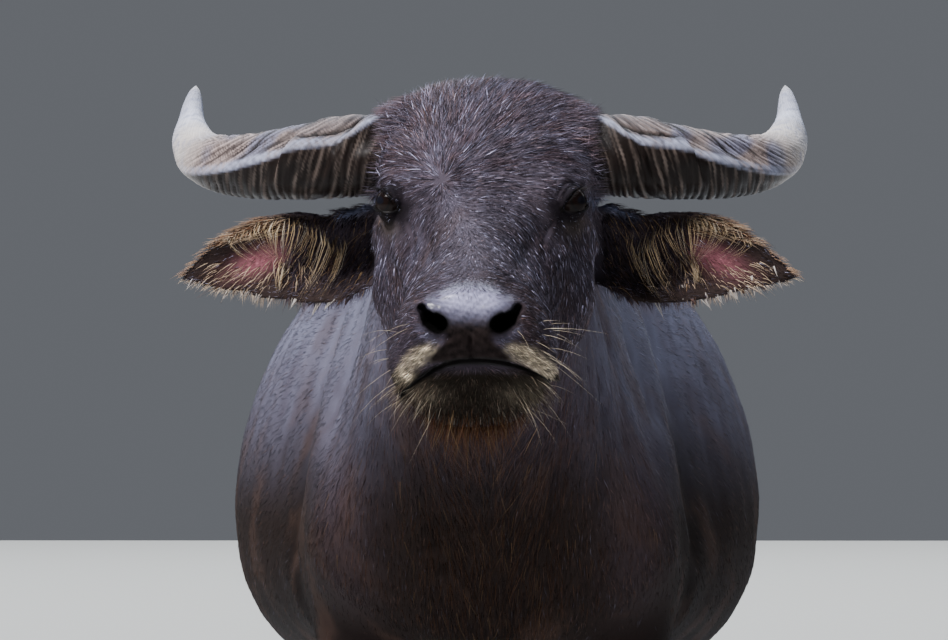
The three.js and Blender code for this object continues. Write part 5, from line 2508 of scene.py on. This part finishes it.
@dataclass
class ShortCoat:
    """The short, flat hair that covers nearly all of the skin."""

    pelt: Pelt
    face_count: int = 117000
    neck_count: int = 42000
    body_count: int = 92000
    leg_count: int = 28000
    tuft_triangles: int = 4
    piece_triangles: int = 190000

    @staticmethod
    def lengths(at: Places) -> Array:
        """The length of the coat, region by region.

        Args:
            at: the places.

        Returns:
            The length at each place, in millimetres.
        """
        length = 22 - 3 * smooth(at.z, 1100, 800)
        length = length + (14 - length) * smooth(at.y, -150, -420)
        length += (12 + 6 * smooth(at.z, 1195, 1250) - length) * at.face()
        length *= 1 - 0.62 * (1 - smooth(at.eyes(), 4, 40))
        length *= 1 - 0.2 * at.muzzle()
        length *= 1 + 0.35 * (at.face() * smooth(at.z, 1280, 1335))
        length += (15 - length) * at.leg() + (-5 * at.leg() * smooth(at.z, 300, 150))
        length += (9 - length) * at.ear()
        return length + (14 - length) * at.tail()

    @staticmethod
    def density(at: Places) -> Array:
        """How thickly the coat grows: none on bare skin and under the horns.

        Args:
            at: the places.

        Returns:
            A share from 0 to 1 for each place.
        """
        grown = 1 - np.maximum(at.nose_pad(), at.lips())
        grown *= smooth(at.eyes(), 1.6, 3.0)
        grown *= np.where(at.out > 96, smooth(at.from_horn(118, 0.9), 38, 46), 1)
        grown *= smooth(MUZZLE.from_nostril(at.head), 1.0, 1.25) + (at.y > -1050)
        return np.clip(grown, 0, 1) * smooth(at.z, 84, 92)

    @staticmethod
    def cream(at: Places) -> Array:
        """1 where the hair beside the mouth is cream."""
        return at.muzzle() * smooth(Markings(at).tone()[:, 0], 0.1, 0.25) * (1 - at.nose_pad())

    def zone(self, share: Array, count: int, width: float, lift: float) -> Roots:
        """Plants one zone.

        Args:
            share: how far each triangle belongs to the zone, with the density in it.
            count: the number of tufts.
            width: tuft width over the square root of the length.
            lift: mean slope off the skin, in radians.

        Returns:
            The zone's roots.
        """
        place, normal, lie = self.pelt.scattered(share, count)
        at = Places(place)
        face, length = at.face(), self.lengths(at)
        tone = painted(Markings(at).tone(), 1.3 * at.nose_pad(), Tone.CHARCOAL * 1.2)
        mix = self.pelt.chance.random(count)
        pale = smooth(tone.max(1), 0.1, 0.2)
        upper = smooth(at.z, 1000, 1180)
        tone = painted(tone, 0.5 * (mix < 0.12), Tone.BROWN * 1.6)
        plain = at.muzzle() * smooth(at.z, 1040, 1020)
        # painted glints: a few tufts get a pale blue-white colour, as light glinting on single hairs
        shine = (mix > 0.95 - 0.05 * face) * (0.2 + 0.8 * np.maximum(upper, face)) * (1 - plain)
        tone = painted(tone, 0.75 * shine * (1 - pale), Tone.GLINT)
        deep = (mix > 0.3) & (mix < 0.46)
        bright = 0.3 * waves(at.points, 9, 81) + 0.4 * face * waves(at.points, 4.5, 82)
        bright += 1.9 * pale * ((7 * mix) % 1 - 0.45) - 0.72 * deep * face
        tone = tone * np.maximum(1 + bright, 0.1)[:, None]
        lock = np.maximum(deep, mix > 0.92) * face * (1 - plain) * smooth(at.z, 1060, 1130)
        length = length * (1 + 0.3 * lock)
        stray = 0.10 + 0.08 * face
        vary = 0.18 + 0.40 * face + 0.1 * pale
        lift = lift * (1 + 1.2 * pale + 0.4 * at.muzzle())
        wide = width * np.sqrt(length) * (1 + 0.12 * lock - 0.35 * pale - 0.22 * shine * face)
        return self.pelt.hair(place, normal, lie, length, wide, lift, tone, stray, vary, 0.5)

    def grow(self, tree: TuftTree, wardrobe: Wardrobe) -> None:
        """Grows all zones, cuts each across in pieces and hands them to the frame.

        Args:
            tree: the node tree that grows tufts.
            wardrobe: takes the pieces.
        """
        at = Places(self.pelt.centre)
        grown = self.density(at)
        face = at.face() > 0.5
        leg = (at.leg() > 0.5) & ~face
        neck = (at.y < -150) & ~face & ~leg
        body = ~(face | leg | neck)
        small = 1 + 0.8 * at.muzzle() + 1.0 * (1 - smooth(at.eyes(), 10, 40))
        small = small + 2.2 * self.cream(at)
        whorl = np.hypot(at.head[:, 0] - Lie.whorl[0], at.head[:, 2] - Lie.whorl[1])
        small = small + 1.6 * bell(whorl, 17) + 0.4 * bell(at.x, 60) * smooth(at.z, 1240, 1180)
        front = 1 + 0.35 * smooth(at.y, -100, -400)
        plans = (
            ("coat_face", face, self.face_count, 0.25, 0.14, small),
            ("coat_neck", neck, self.neck_count, 0.38, 0.08, front),
            ("coat_body", body, self.body_count, 0.36, 0.055, 1),
            ("coat_legs", leg, self.leg_count, 0.40, 0.12, 1),
        )
        material = wardrobe.material(Finishes.COAT)
        for name, zone, count, width, lift, thick in plans:
            roots = self.zone(grown * zone * thick, count, width, lift)
            pieces = math.ceil(count * self.tuft_triangles / self.piece_triangles)
            cuts = np.quantile(roots.place[:, 1], np.linspace(0, 1, pieces + 1))
            part = np.clip(np.searchsorted(cuts, roots.place[:, 1]) - 1, 0, pieces - 1)
            for i in range(pieces):
                piece = tree.grown(f"{name}_{i + 1}", roots.taken(part == i), 1, material)
                wardrobe.place(piece, Finishes.COAT)


@dataclass
class LongHair:
    """The hair that is seen one lock at a time."""

    pelt: Pelt
    crown_count: int = 7400
    beard_count: int = 1500
    frost_count: int = 850
    throat_count: int = 7000
    mane_count: int = 3600
    ear_edge_count: int = 1300
    ear_fan_count: int = 300
    ear_root_count: int = 3200
    ear_rim_counts: tuple[int, int] = (1300, 900)
    drip_count: int = 15
    whisker_count: int = 64
    coronet_count: int = 4200
    switch_count: int = 3400
    skin: Places = field(init=False)
    facing: Array = field(init=False)

    # on the ears: distance out and height of an arch's start and of its goal, and its strands
    ARCHES = (
        (275, 1181, 243, 1139, 8), (267, 1184, 242, 1136, 5), (260, 1186, 240, 1134, 9),
        (249, 1187, 241, 1139, 9), (241, 1188, 238, 1133, 5), (234, 1189, 239, 1136, 9),
        (224, 1188, 237, 1136, 7), (211, 1186, 236, 1133, 9), (204, 1184, 228, 1118, 6),
        (197, 1181, 224, 1094, 12), (187, 1172, 218, 1098, 10), (241, 1138, 243, 1108, 22),
        (236, 1136, 250, 1116, 9), (290, 1172, 262, 1138, 8), (303, 1166, 280, 1140, 8),
        (180, 1160, 200, 1090, 8), (172, 1172, 186, 1110, 8),
    )

    # under the ears: distance out and length of a wet tuft, and whether it is pale
    DRIPS = (
        (346, 15, 1), (337, 12, 1), (318, 10, 0), (304, 18, 1), (296, 10, 0), (284, 15, 1), (268, 13, 1),
        (252, 17, 1), (238, 11, 0), (226, 13, 1), (206, 10, 0), (196, 22, 1), (184, 14, 1), (172, 12, 0),
        (160, 20, 0),
    )

    def __post_init__(self) -> None:
        """Reads the middle and the normal of each of the skin's triangles."""
        self.skin = Places(self.pelt.centre)
        self.facing = unit(self.pelt.normals[self.pelt.skin.shell.faces].sum(1))

    def rooted(self, share: Array, count: int) -> tuple[Array, Array, Array, Places]:
        """Random places where a share of the skin is planted.

        Args:
            share: how thickly each triangle is planted.
            count: how many places.

        Returns:
            The places, normals, lie, and the measures of the places.
        """
        place, normal, lie = self.pelt.scattered(share, count)
        return place, normal, lie, Places(place)

    def fine(self, place: Array, way: Array, up: Array, length: Array, width: float, tone: Array,
             bend: Array, flat: float = 0.7) -> Roots:
        """Roots of strands that are all equally wide.

        Args:
            place: root points.
            way: the way each strand starts.
            up: the way its flat side looks.
            length: its length.
            width: the width of all.
            tone: its colour.
            bend: how far its tip bends away.
            flat: thickness over width.

        Returns:
            The roots.
        """
        return Roots(place, way, up, length, np.full(len(place), width), tone, bend, flat)

    def crown(self) -> Roots:
        """The ruffled hair between the horns and over their bases.

        Returns:
            The roots.
        """
        skin = self.skin
        top = skin.face() * smooth(skin.z, 1262, 1325) * smooth(skin.y, -620, -660)
        side = bell(skin.from_horn(98, 1) - 51, 9)
        share = top + 0.9 * side * (skin.out > 60) * skin.face()
        place, normal, lie, at = self.rooted(share, self.crown_count)
        side = np.sign(at.x)
        collar = smooth(at.out, 66, 96)
        near, far = collar[:, None], 1 - collar[:, None]
        over = unit(columns(0 * side, at.y - HORN_LEVEL[0], at.z - HORN_LEVEL[1]))
        out = unit(columns(side, 0.05, 0.12) - 0.12 * over)
        lie = unit(lie * far + out * near)
        normal = unit(normal * far + over * near)
        lie = unit(lie - 0.9 * dot(lie, normal) * normal)
        mix = self.pelt.chance.random(len(place))
        tone = painted(Markings(at).tone(), (mix > 0.6) * 0.5, Tone.BROWN * 1.5)
        # painted glints on a few crown locks
        tone = painted(tone, (mix > 0.9) * 0.6, Tone.GLINT)
        lift = 0.2 * (1 - 0.7 * collar)
        return self.pelt.hair(place, normal, lie, 24 - 3 * collar, 0.85, lift, tone, vary=0.5)

    def beard(self) -> Roots:
        """Thin rust-coloured hair under the chin.

        Returns:
            The roots.
        """
        skin = self.skin
        share = smooth(skin.z, 980, 955) * smooth(skin.y, -860, -960) * smooth(self.facing[:, 2], 0.1, -0.5)
        place, normal, _, at = self.rooted(share * smooth(skin.out, 86, 40), self.beard_count)
        chance, count = self.pelt.chance, len(place)
        way = columns(0.10 * np.sign(at.x), 0.10, -1)
        way = unit(way + chance.normal(0, 0.16, (count, 3)))
        front = smooth(at.y, -1010, -1060)
        length = (24 + 30 * front * smooth(at.out, 60, 10)) * chance.uniform(0.25, 1.4, count)
        mix = chance.random(count)[:, None]
        tone = np.where(mix < 0.34, Tone.RUST * 0.42, np.where(mix < 0.94, Tone.RUST * 0.14, Tone.GOLD * 0.3))
        bend = chance.normal(0, 0.16, (count, 3)) * length[:, None]
        return self.fine(place - normal, way, normal, length, 0.62, tone, bend)

    def frost(self) -> Roots:
        """Fine pale hair that stands out over the chin and the corners of the mouth.

        Returns:
            The roots.
        """
        skin = self.skin
        share = skin.muzzle() * smooth(skin.z, 1004, 992) * smooth(skin.z, 946, 966)
        share = share * smooth(skin.y, -1000, -1030) * (0.4 + smooth(skin.out, 15, 55))
        share = share * (1 - skin.lips()) * (skin.out < 84)
        place, normal, _, at = self.rooted(share, self.frost_count)
        chance, count = self.pelt.chance, len(place)
        way = 0.45 * normal + columns(0.75 * (at.x / 60), -0.1, -0.8)
        way = unit(way + chance.normal(0, 0.16, (count, 3)))
        length = (8 + 12 * smooth(at.out, 25, 70)) * chance.uniform(0.4, 1.5, count)
        mix = chance.random(count)[:, None]
        tone = np.where(mix < 0.35, Tone.FROST, np.where(mix < 0.43, Tone.BRIGHT_FROST, Tone.BROWN * 0.5))
        bend = vec(0, 0, -0.22) * length[:, None]
        return self.fine(place - normal, way, normal, length, 0.45, tone, bend)

    def throat(self) -> Roots:
        """Shaggy hair down the front of the neck and the brisket.

        Returns:
            The roots.
        """
        skin, facing = self.skin, self.facing
        front = smooth(skin.y, -150, -230) * smooth(skin.y, -960, -860) * smooth(skin.z, 1060, 960)
        middle = 0.35 + 0.65 * smooth(skin.out, 130, 60)
        share = front * middle * smooth(facing[:, 1] + facing[:, 2], 0.1, -0.4)
        place, normal, lie, at = self.rooted(share, self.throat_count)
        lie = unit(lie + vec(0, 0, -0.8))
        lie = unit(lie - dot(lie, normal) * normal)
        length = 27 + 17 * smooth(at.out, 110, 30)
        mix = self.pelt.chance.random(len(place))
        tone = painted(Markings(at).tone(), (mix > 0.6) * 0.5, Tone.RUST * 0.3)
        tone = painted(tone, (mix > 0.97) * 0.5, Tone.GOLD * 0.3)
        return self.pelt.hair(place, normal, lie, length, 1.0, 0.16, tone, 0.14, droop=4.0)

    def mane(self) -> Roots:
        """Longer hair along the top of the neck and over the withers.

        Returns:
            The roots.
        """
        skin = self.skin
        share = smooth(self.facing[:, 2], 0.5, 0.9) * smooth(skin.y, 250, -50)
        share = share * (skin.y > -640) * (skin.z > 1200)
        place, normal, lie, at = self.rooted(share, self.mane_count)
        brown = 0.3 * (self.pelt.chance.random(len(place)) > 0.6)
        tone = painted(Markings(at).tone(), brown, Tone.BROWN * 2)
        return self.pelt.hair(place, normal, lie, 30.0, 1.7, 0.2, tone)

    def ears(self) -> Roots:
        """All hair of the ears that is longer than their coat."""
        groups = [self.ear_arch(), self.ear_edge(), self.ear_fan(), self.ear_root()]
        return Roots.together(groups + [self.ear_rim(), self.ear_drips()])

    def ear_places(self, out: tuple[float, float], level: tuple[float, float], count: int) -> tuple:
        """Random places on the inner side of the ears.

        Args:
            out: the lowest and the highest distance from the middle plane.
            level: the lowest and the highest place over the ear's middle line.
            count: how many.

        Returns:
            Places, normals, sides, distances from the middle plane and levels.
        """
        skin = self.skin
        height = skin.z - self.ear_line(skin.out)
        share = (skin.ear() > 0.5) * smooth(self.facing[:, 1], 0.1, -0.2)
        share = share * smooth(skin.out, out[0] - 8, out[0] + 8) * smooth(skin.out, out[1] + 8, out[1] - 8)
        share = share * smooth(height, level[0] - 3, level[0] + 3)
        share = share * smooth(height, level[1] + 3, level[1] - 3)
        place, normal, _, at = self.rooted(share, count)
        return place, normal, np.sign(at.x), at.out, at.z - self.ear_line(at.out)

    @staticmethod
    def ear_line(out: Array) -> Array:
        """The height of the ear's middle line."""
        return 1146 - 0.05 * (out - 230)

    def strands(self, place: Array, normal: Array, goal: Array, length: Array, width: float,
                tone: Array, spread: float) -> Roots:
        """Strands that start off the skin and end near a goal direction.

        Args:
            place: the roots.
            normal: the skin's normals.
            goal: the wanted direction of each strand as a whole.
            length: their lengths.
            width: their width.
            tone: their colours.
            spread: how untidy they are.

        Returns:
            The roots.
        """
        chance, count = self.pelt.chance, len(place)
        goal = unit(goal + chance.normal(0, spread, (count, 3)))
        start = unit(goal + 0.55 * normal + vec(0, 0, 0.25))
        bend = (goal - start) * length[:, None] * 1.05
        tone = tone * np.exp(chance.normal(0, 0.3, count))[:, None]
        return self.fine(place - 0.5 * normal, start, normal, length, width, tone, bend)

    def ear_arch(self) -> Roots:
        """Pale locks that arch from the upper edge to a knot, and the one that hangs from it.

        Returns:
            The roots.
        """
        chance = self.pelt.chance
        at = Places(self.pelt.skin.shell.points)
        inner = np.flatnonzero((at.ear() > 0.3) & (self.pelt.normals[:, 1] < 0.1))
        starts, goals = [], []
        for side in (1, -1):
            here = inner[np.sign(at.x[inner]) == side]
            flat = np.stack([at.out[here], at.z[here]], 1)
            for out, top, goal_out, goal_top, count in self.ARCHES:
                start = vec(out, top) + chance.normal(0, 2.6, (count, 2))
                goal = vec(goal_out, goal_top) + chance.normal(0, 1.8, (count, 2)) + chance.normal(0, 2, 2)
                for first, last in zip(start, goal):
                    root = at.head[here[((flat - first) ** 2).sum(1).argmin()]]
                    ground = at.head[here[((flat - last) ** 2).sum(1).argmin()], 1]
                    starts.append(root)
                    goals.append(vec(side * last[0], min(ground, root[1]) - chance.uniform(3, 8), last[1]))
        place, goal = (LAYOUT.turned(np.array(points), share=1.0) for points in (starts, goals))
        reach = (goal - place) * chance.uniform(0.75, 1.2, (len(place), 1))
        length = np.linalg.norm(reach, axis=1) * 0.85
        side = np.sign(place[:, 0])
        outer = np.clip((np.abs(place[:, 0]) - 236) / 14, -1, 1)
        way = columns(side * (0.25 + 0.75 * outer), -0.75, -0.7)
        way = unit(way + chance.normal(0, 0.09, way.shape))
        mix = chance.random(len(place))[:, None]
        tone = np.where(mix < 0.6, Tone.STRAW, np.where(mix < 0.85, Tone.PALE_STRAW, Tone.BROWN))
        up = np.tile(vec(0, -1, 0), (len(place), 1))
        return self.fine(place, way, up, length, 0.8, tone, reach - way * length[:, None])

    def ear_edge(self) -> Roots:
        """Short fair hair along the upper outer edge, pointing to the ear's tip.

        Returns:
            The roots.
        """
        place, normal, side, out, level = self.ear_places((232, 352), (8, 46), self.ear_edge_count)
        keep = level > 26 - 0.10 * (out - 232)
        place, normal = place[keep], normal[keep]
        mix = self.pelt.chance.random(len(place))[:, None]
        tone = np.where(mix < 0.55, Tone.EDGE_STRAW, np.where(mix < 0.8, Tone.RUST * 0.8, Tone.BROWN))
        length = 19 * self.pelt.chance.uniform(0.6, 1.25, len(place))
        return self.strands(place, normal, columns(side[keep], -0.15, -0.30), length, 0.85, tone, 0.16)

    def ear_fan(self) -> Roots:
        """Pale strands fanning down and outward from under the pink cup.

        Returns:
            The roots.
        """
        place, normal, side, out, _ = self.ear_places((205, 325), (-34, -2), self.ear_fan_count)
        goal = columns(side * np.clip((out - 225) / 70, -0.3, 1.2), -0.2, -0.75)
        mix = self.pelt.chance.random(len(place))[:, None]
        tone = np.where(mix < 0.6, Tone.FAN_STRAW, Tone.BROWN * 1.3)
        length = 27 * self.pelt.chance.uniform(0.5, 1.25, len(place))
        return self.strands(place, normal, goal, length, 0.8, tone, 0.14)

    def ear_root(self) -> Roots:
        """Dark hair in the inner half of the ears with a few fair strands.

        Returns:
            The roots.
        """
        place, normal, side, _, _ = self.ear_places((128, 232), (-44, 46), self.ear_root_count)
        mix = self.pelt.chance.random(len(place))[:, None]
        fair = np.where(mix < 0.95, Tone.BROWN * 1.1, Tone.GOLD * 0.5)
        tone = np.where(mix < 0.84, Tone.CHARCOAL * 0.75, fair)
        length = 27 * self.pelt.chance.uniform(0.5, 1.2, len(place))
        return self.strands(place, normal, columns(side * 0.45, -0.15, -0.9), length, 1.0, tone, 0.16)

    def rim_places(self, upper: bool) -> Array:
        """Finds the skin's points along an edge of the ears.

        Args:
            upper: whether it is the upper edge or the lower one.

        Returns:
            The points' numbers, in order outward.
        """
        at = Places(self.pelt.skin.shell.points)
        found = []
        for side in (1, -1):
            ear = np.flatnonzero((at.ear() > 0.9) & (np.sign(at.x) == side))
            bins = np.floor(at.out[ear] / 2.5).astype(int)
            for one in np.unique(bins):
                here = ear[bins == one]
                found.append(here[at.z[here].argmax() if upper else at.z[here].argmin()])
        return np.array(found)

    def ear_drips(self) -> Roots:
        """Wet tufts, drawn to points, that hang from the lower edge.

        Returns:
            The roots.
        """
        chance, count = self.pelt.chance, self.drip_count
        rim = self.pelt.skin.shell.points[self.rim_places(False)]
        places, reaches, light = [], [], []
        for side in (1, -1):
            edge = rim[np.sign(rim[:, 0]) == side]
            out = np.abs(edge[:, 0])
            for at, tall, fair in self.DRIPS:
                spots = at + chance.uniform(-1, 1, count) * (1.5 + 0.16 * tall)
                light.append(np.full(count, fair > 0))
                place = edge[np.abs(out[None] - spots[:, None]).argmin(1)] + chance.normal(0, 0.5, (count, 3))
                goal = edge[np.abs(out - at).argmin()] + vec(side * tall * 0.45, -2.5, -tall)
                places.append(place + vec(0, 0, 2.5))
                reaches.append(goal - place + vec(0, 0, 3))
        place, reach = np.concatenate(places), np.concatenate(reaches)
        tone = np.where(np.concatenate(light)[:, None], Tone.WET_POINT, Tone.BROWN * 1.2)
        tone = tone * chance.uniform(0.3, 1.1, (len(place), 1))
        up = np.tile(vec(0, -1, 0), (len(place), 1))
        length = 1.2 * np.linalg.norm(reach, axis=1)
        return self.fine(place, unit(reach), up, length, 1.6, tone, np.zeros_like(reach), 0.8)

    def ear_rim(self) -> Roots:
        """Short hair that stands off the upper edge and hangs from the lower edge.

        Returns:
            The roots.
        """
        chance = self.pelt.chance
        upper_count, lower_count = self.ear_rim_counts
        high, low = self.rim_places(True), self.rim_places(False)
        picked = [edge[chance.integers(0, len(edge), number)]
                  for edge, number in ((high, upper_count), (low, lower_count))]
        picked = np.concatenate(picked)
        count = len(picked)
        upper = np.arange(count) < upper_count
        place = self.pelt.skin.shell.points[picked] + chance.normal(0, 1.6, (count, 3)) * vec(1.4, 0.8, 0.4)
        side, out = np.sign(place[:, 0]), np.abs(place[:, 0])
        tip = smooth(out, 290, 350)
        hang = columns(side * (0.25 + 0.8 * tip), -0.12, -1 + 0.5 * tip)
        stand = columns(side * (0.85 + 0.2 * tip), -0.30, 0.12 - 0.3 * tip)
        clump = waves(columns(out, 0), 13, 71)
        way = np.where(upper[:, None], stand, hang) + columns(0.3 * clump, 0, 0)
        way = unit(way + chance.normal(0, 0.1, (count, 3)))
        length = np.where(upper, 13, 10 + 3 * clump) * chance.uniform(0.5, 1.3, count)
        mix = chance.random(count)
        fair = smooth(out, 200, 300) * 0.9
        over = np.where(upper[:, None], Tone.UPPER_RIM, Tone.LOWER_RIM)
        tone = painted(np.tile(Tone.CHARCOAL, (count, 1)), (mix < 0.75) * fair, over)
        bend = np.where(upper[:, None], vec(0, 0, -0.25), vec(0, 0, -0.1)) * length[:, None]
        up = unit(self.pelt.normals[picked] + vec(0, -0.4, 0))
        return self.fine(place, way, up, length, 0.9, tone, bend, 0.6)

    def lashes(self) -> Roots:
        """Lashes on the upper lids and a few on the lower.

        Returns:
            The roots.
        """
        places, ways, ups, lids = [], [], [], []
        spots = [(along, 1) for along in np.linspace(-15, 19, 44)]
        spots += [(along, -1) for along in np.linspace(-8, 16, 14)]
        for eye in EYES:
            for along, lid in spots:
                top, low = eye.edges(np.array([along]))
                height = (top if lid > 0 else low)[0] + lid
                off = eye.radius + eye.lid
                deep = math.sqrt(max(off**2 - along**2 - height**2, 1))
                places.append(eye.centre + vec(along, height, deep) @ eye.axes)
                ways.append(vec(along * 0.025, 0.25 if lid > 0 else -0.5, 1.0) @ eye.axes)
                ups.append(vec(0, lid, 0) @ eye.axes)
                lids.append(lid > 0)
        chance, count = self.pelt.chance, len(places)
        place = LAYOUT.turned(np.array(places), share=1.0)
        way = unit(np.array(ways) + chance.normal(0, 0.1, (count, 3)))
        up, high = unit(np.array(ups)), np.array(lids)
        length = np.where(high, 13, 7) * chance.uniform(0.75, 1.15, count)
        bend = up * np.where(high, -3.0, 1.5)[:, None]
        return self.fine(place, way, up, length, 0.7, np.tile(Tone.BLACK * 1.5, (count, 1)), bend, 0.8)

    def whiskers(self) -> Roots:
        """Long feelers on the lips, the chin and the muzzle's sides.

        Returns:
            The roots.
        """
        skin = self.skin
        share = skin.muzzle() * smooth(skin.z, 1082, 1060) * smooth(skin.out, 30, 52)
        share *= smooth(MUZZLE.from_nostril(skin.head), 1.6, 2.2)
        share = share * (1 - skin.nose_pad()) * smooth(skin.lips(), 0.5, 0.1)
        place, normal, _, at = self.rooted(share, self.whisker_count)
        chance, count = self.pelt.chance, len(place)
        way = normal + columns(0.35 * np.sign(at.x), -0.15, -0.25)
        way = unit(way + chance.normal(0, 0.22, (count, 3)))
        length = chance.uniform(22, 78, count)
        pale = chance.random(count)[:, None] < 0.6
        tone = np.where(pale, Tone.WHISKER, Tone.BLACK * 2)
        bend = columns(0, 0, -0.22 * length) + chance.normal(0, 0.06, (count, 3)) * length[:, None]
        return self.fine(place - normal, way, normal, length, 0.38, tone, bend, 0.9)

    def coronets(self) -> Roots:
        """Fringes over the claws and behind the fetlocks.

        Returns:
            The roots.
        """
        skin, facing = self.skin, self.facing
        back = skin.leg() * bell(skin.z - 150, 26) * smooth(facing[:, 1], 0.3, 0.8)
        share = (smooth(skin.z, 106, 92) + 1.2 * back) * smooth(skin.z, 80, 86)
        share = share * (np.abs(facing[:, 2]) < 0.8)
        place, normal, lie, at = self.rooted(share, self.coronet_count)
        length = 15 + 8 * smooth(at.z, 110, 135)
        return self.pelt.hair(place, normal, lie, length, 1.2, 0.28, Markings(at).tone() * 0.9)

    def switch(self) -> Roots:
        """The locks at the end of the tail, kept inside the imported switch.

        Returns:
            The roots.
        """
        solid = Shell.of_node("tail_switch").points
        top, bottom = solid[:, 2].max(), solid[:, 2].min()
        chance, count = self.pelt.chance, self.switch_count
        share = chance.random(count) ** 1.15
        level = top + 50 - share * (top - bottom - 20)
        near = np.abs(solid[None, :, 2] - level[:, None])
        close = np.exp(-((near / 40) ** 2))
        centre = (close[..., None] * solid[None]).sum(1) / close.sum(1)[:, None]
        away = ((solid[None, :, :2] - centre[:, None, :2]) ** 2).sum(2)
        spread = np.sqrt((close * away).sum(1) / close.sum(1))
        angle = chance.uniform(0, 2 * math.pi, count)
        radius = spread * 0.75 * np.sqrt(chance.random(count))
        place = columns(centre[:, 0] + radius * np.cos(angle), centre[:, 1] + radius * np.sin(angle), level)
        length = np.minimum(chance.uniform(70, 140, count), level - bottom - 2)
        out = columns(np.cos(angle), np.sin(angle), 0)
        way = unit(vec(0, 0.02, -1) + out * 0.03 + chance.normal(0, 0.03, (count, 3)))
        bend = -out * (radius * 0.6)[:, None] * smooth(level, bottom + 200, bottom)[:, None]
        tone = np.tile(Tone.BLACK * 2.2, (count, 1)) * np.exp(chance.normal(0, 0.4, count))[:, None]
        tone = painted(tone, 0.5 * (chance.random(count) > 0.8), Tone.BROWN)
        return self.fine(place, way, out, length, 2.6, tone, bend)

    def grow(self, tree: TuftTree, wardrobe: Wardrobe) -> None:
        """Grows every kind and hands it to the frame.

        Args:
            tree: the node tree that grows tufts.
            wardrobe: takes the pieces.
        """
        material = wardrobe.material(Finishes.COAT)
        plans = (
            ("hair_crown", self.crown(), 2, ()), ("hair_beard", self.beard(), 3, ()),
            ("hair_chin", self.frost(), 2, ()),
            ("hair_throat", self.throat(), 2, ()), ("hair_mane", self.mane(), 2, ()),
            ("hair_ears", self.ears(), 3, ()), ("hair_lashes", self.lashes(), 3, ()),
            ("hair_whiskers", self.whiskers(), 4, ()), ("hair_coronets", self.coronets(), 2, ()),
            ("hair_switch", self.switch(), 3, ("tail_switch",)),
        )
        for name, roots, segments, nodes in plans:
            wardrobe.place(tree.grown(name, roots, segments, material), Finishes.COAT, nodes)


# Studio


@dataclass
class Studio:
    """A plain pale room with soft light, and the camera where the photo was taken from."""

    eye: tuple[float, float, float] = (70, -7800, 1000)
    lens: float = 231.15
    tilt: float = 90.565
    turn: float = 0.697
    floor_size: float = 60
    floor_tone: tuple[float, float, float] = (0.62, 0.63, 0.62)
    sky_tone: tuple[float, float, float] = (0.66, 0.70, 0.78)
    sky_strength: float = 0.2

    # name, place, aim, side, power and colour of each light
    LAMPS = (
        ("key", (-3.3, -3.9, 6.9), (0, -0.5, 1.0), 1.6, 1950, (1.0, 0.98, 0.985)),
        ("overhead", (0.2, 1.8, 6.0), (0, 0.1, 0.9), 5.0, 620, (0.74, 0.84, 1.0)),
        ("fill", (5.0, -4.5, 2.6), (0, -0.3, 0.9), 3.0, 8, (1.0, 0.96, 0.93)),
        ("backdrop", (0, 20, 9), (0, 20.01, 0), 26.0, 4500, (0.96, 0.98, 1.0)),
    )

    def surface(self, name: str, tone: tuple[float, float, float]) -> bpy.types.Material:
        """A plain matt material.

        Args:
            name: the material's name.
            tone: its colour, linear.

        Returns:
            The material.
        """
        made = bpy.data.materials.new(name)
        made.use_nodes = True
        shader = made.node_tree.nodes["Principled BSDF"]
        shader.inputs["Base Color"].default_value = (*tone, 1)
        shader.inputs["Roughness"].default_value = 0.9
        shader.inputs["Specular IOR Level"].default_value = 0.1
        return made

    def area(self, name: str, place: Sequence[float], aim: Sequence[float], size: float, power: float,
             tint: tuple[float, float, float]) -> None:
        """A square soft light.

        Args:
            name: the light's name.
            place: where it hangs, in metres.
            aim: what it looks at.
            size: its side in metres.
            power: its power in watts.
            tint: its colour.
        """
        lamp = bpy.data.lights.new(name, "AREA")
        lamp.size = size
        lamp.energy = power
        lamp.color = tint
        holder = linked(name, lamp)
        holder.location = place
        holder.rotation_euler = (Vector(aim) - Vector(place)).to_track_quat("-Z", "Y").to_euler()

    def build(self) -> None:
        """Makes floor, light and camera."""
        bm = bmesh.new()
        bmesh.ops.create_grid(bm, x_segments=1, y_segments=1, size=self.floor_size / 2)
        floor = linked("floor", from_bmesh("floor", bm))
        floor.data.materials.append(self.surface("floor", self.floor_tone))
        world = bpy.data.worlds.new("studio")
        world.use_nodes = True
        sky = world.node_tree.nodes["Background"]
        sky.inputs["Color"].default_value = (*self.sky_tone, 1)
        sky.inputs["Strength"].default_value = self.sky_strength
        bpy.context.scene.world = world
        for lamp in self.LAMPS:
            self.area(*lamp)
        camera = bpy.data.cameras.new("camera")
        camera.lens = self.lens
        camera.sensor_width = 36
        camera.clip_end = 200
        holder = linked("camera", camera)
        holder.location = LAYOUT.to_frame(vec(*self.eye))
        holder.rotation_euler = (math.radians(self.tilt), 0, math.radians(self.turn))
        bpy.context.scene.camera = holder


def main() -> None:
    """Builds the animal piece by piece and then the studio."""
    wardrobe = Wardrobe()
    skin = Skin()
    wardrobe.place(skin.make(), Finishes.HIDE, BaseSkin.FLESH)
    for side in ("left", "right"):
        wardrobe.place(Horn(side).make(), Finishes.HORN, (f"horn_{side}",))
    for eye in EYES:
        node = "eye_left" if eye.side > 0 else "eye_right"
        wardrobe.place(EyeBall(eye).make(), Finishes.EYE, (node,))
    hooves = Hooves()
    wardrobe.place(hooves.make(), Finishes.HOOF, hooves.names())
    tree = TuftTree()
    pelt = Pelt(skin)
    ShortCoat(pelt).grow(tree, wardrobe)
    LongHair(pelt).grow(tree, wardrobe)
    Studio().build()


if __name__ == "__main__":
    main()
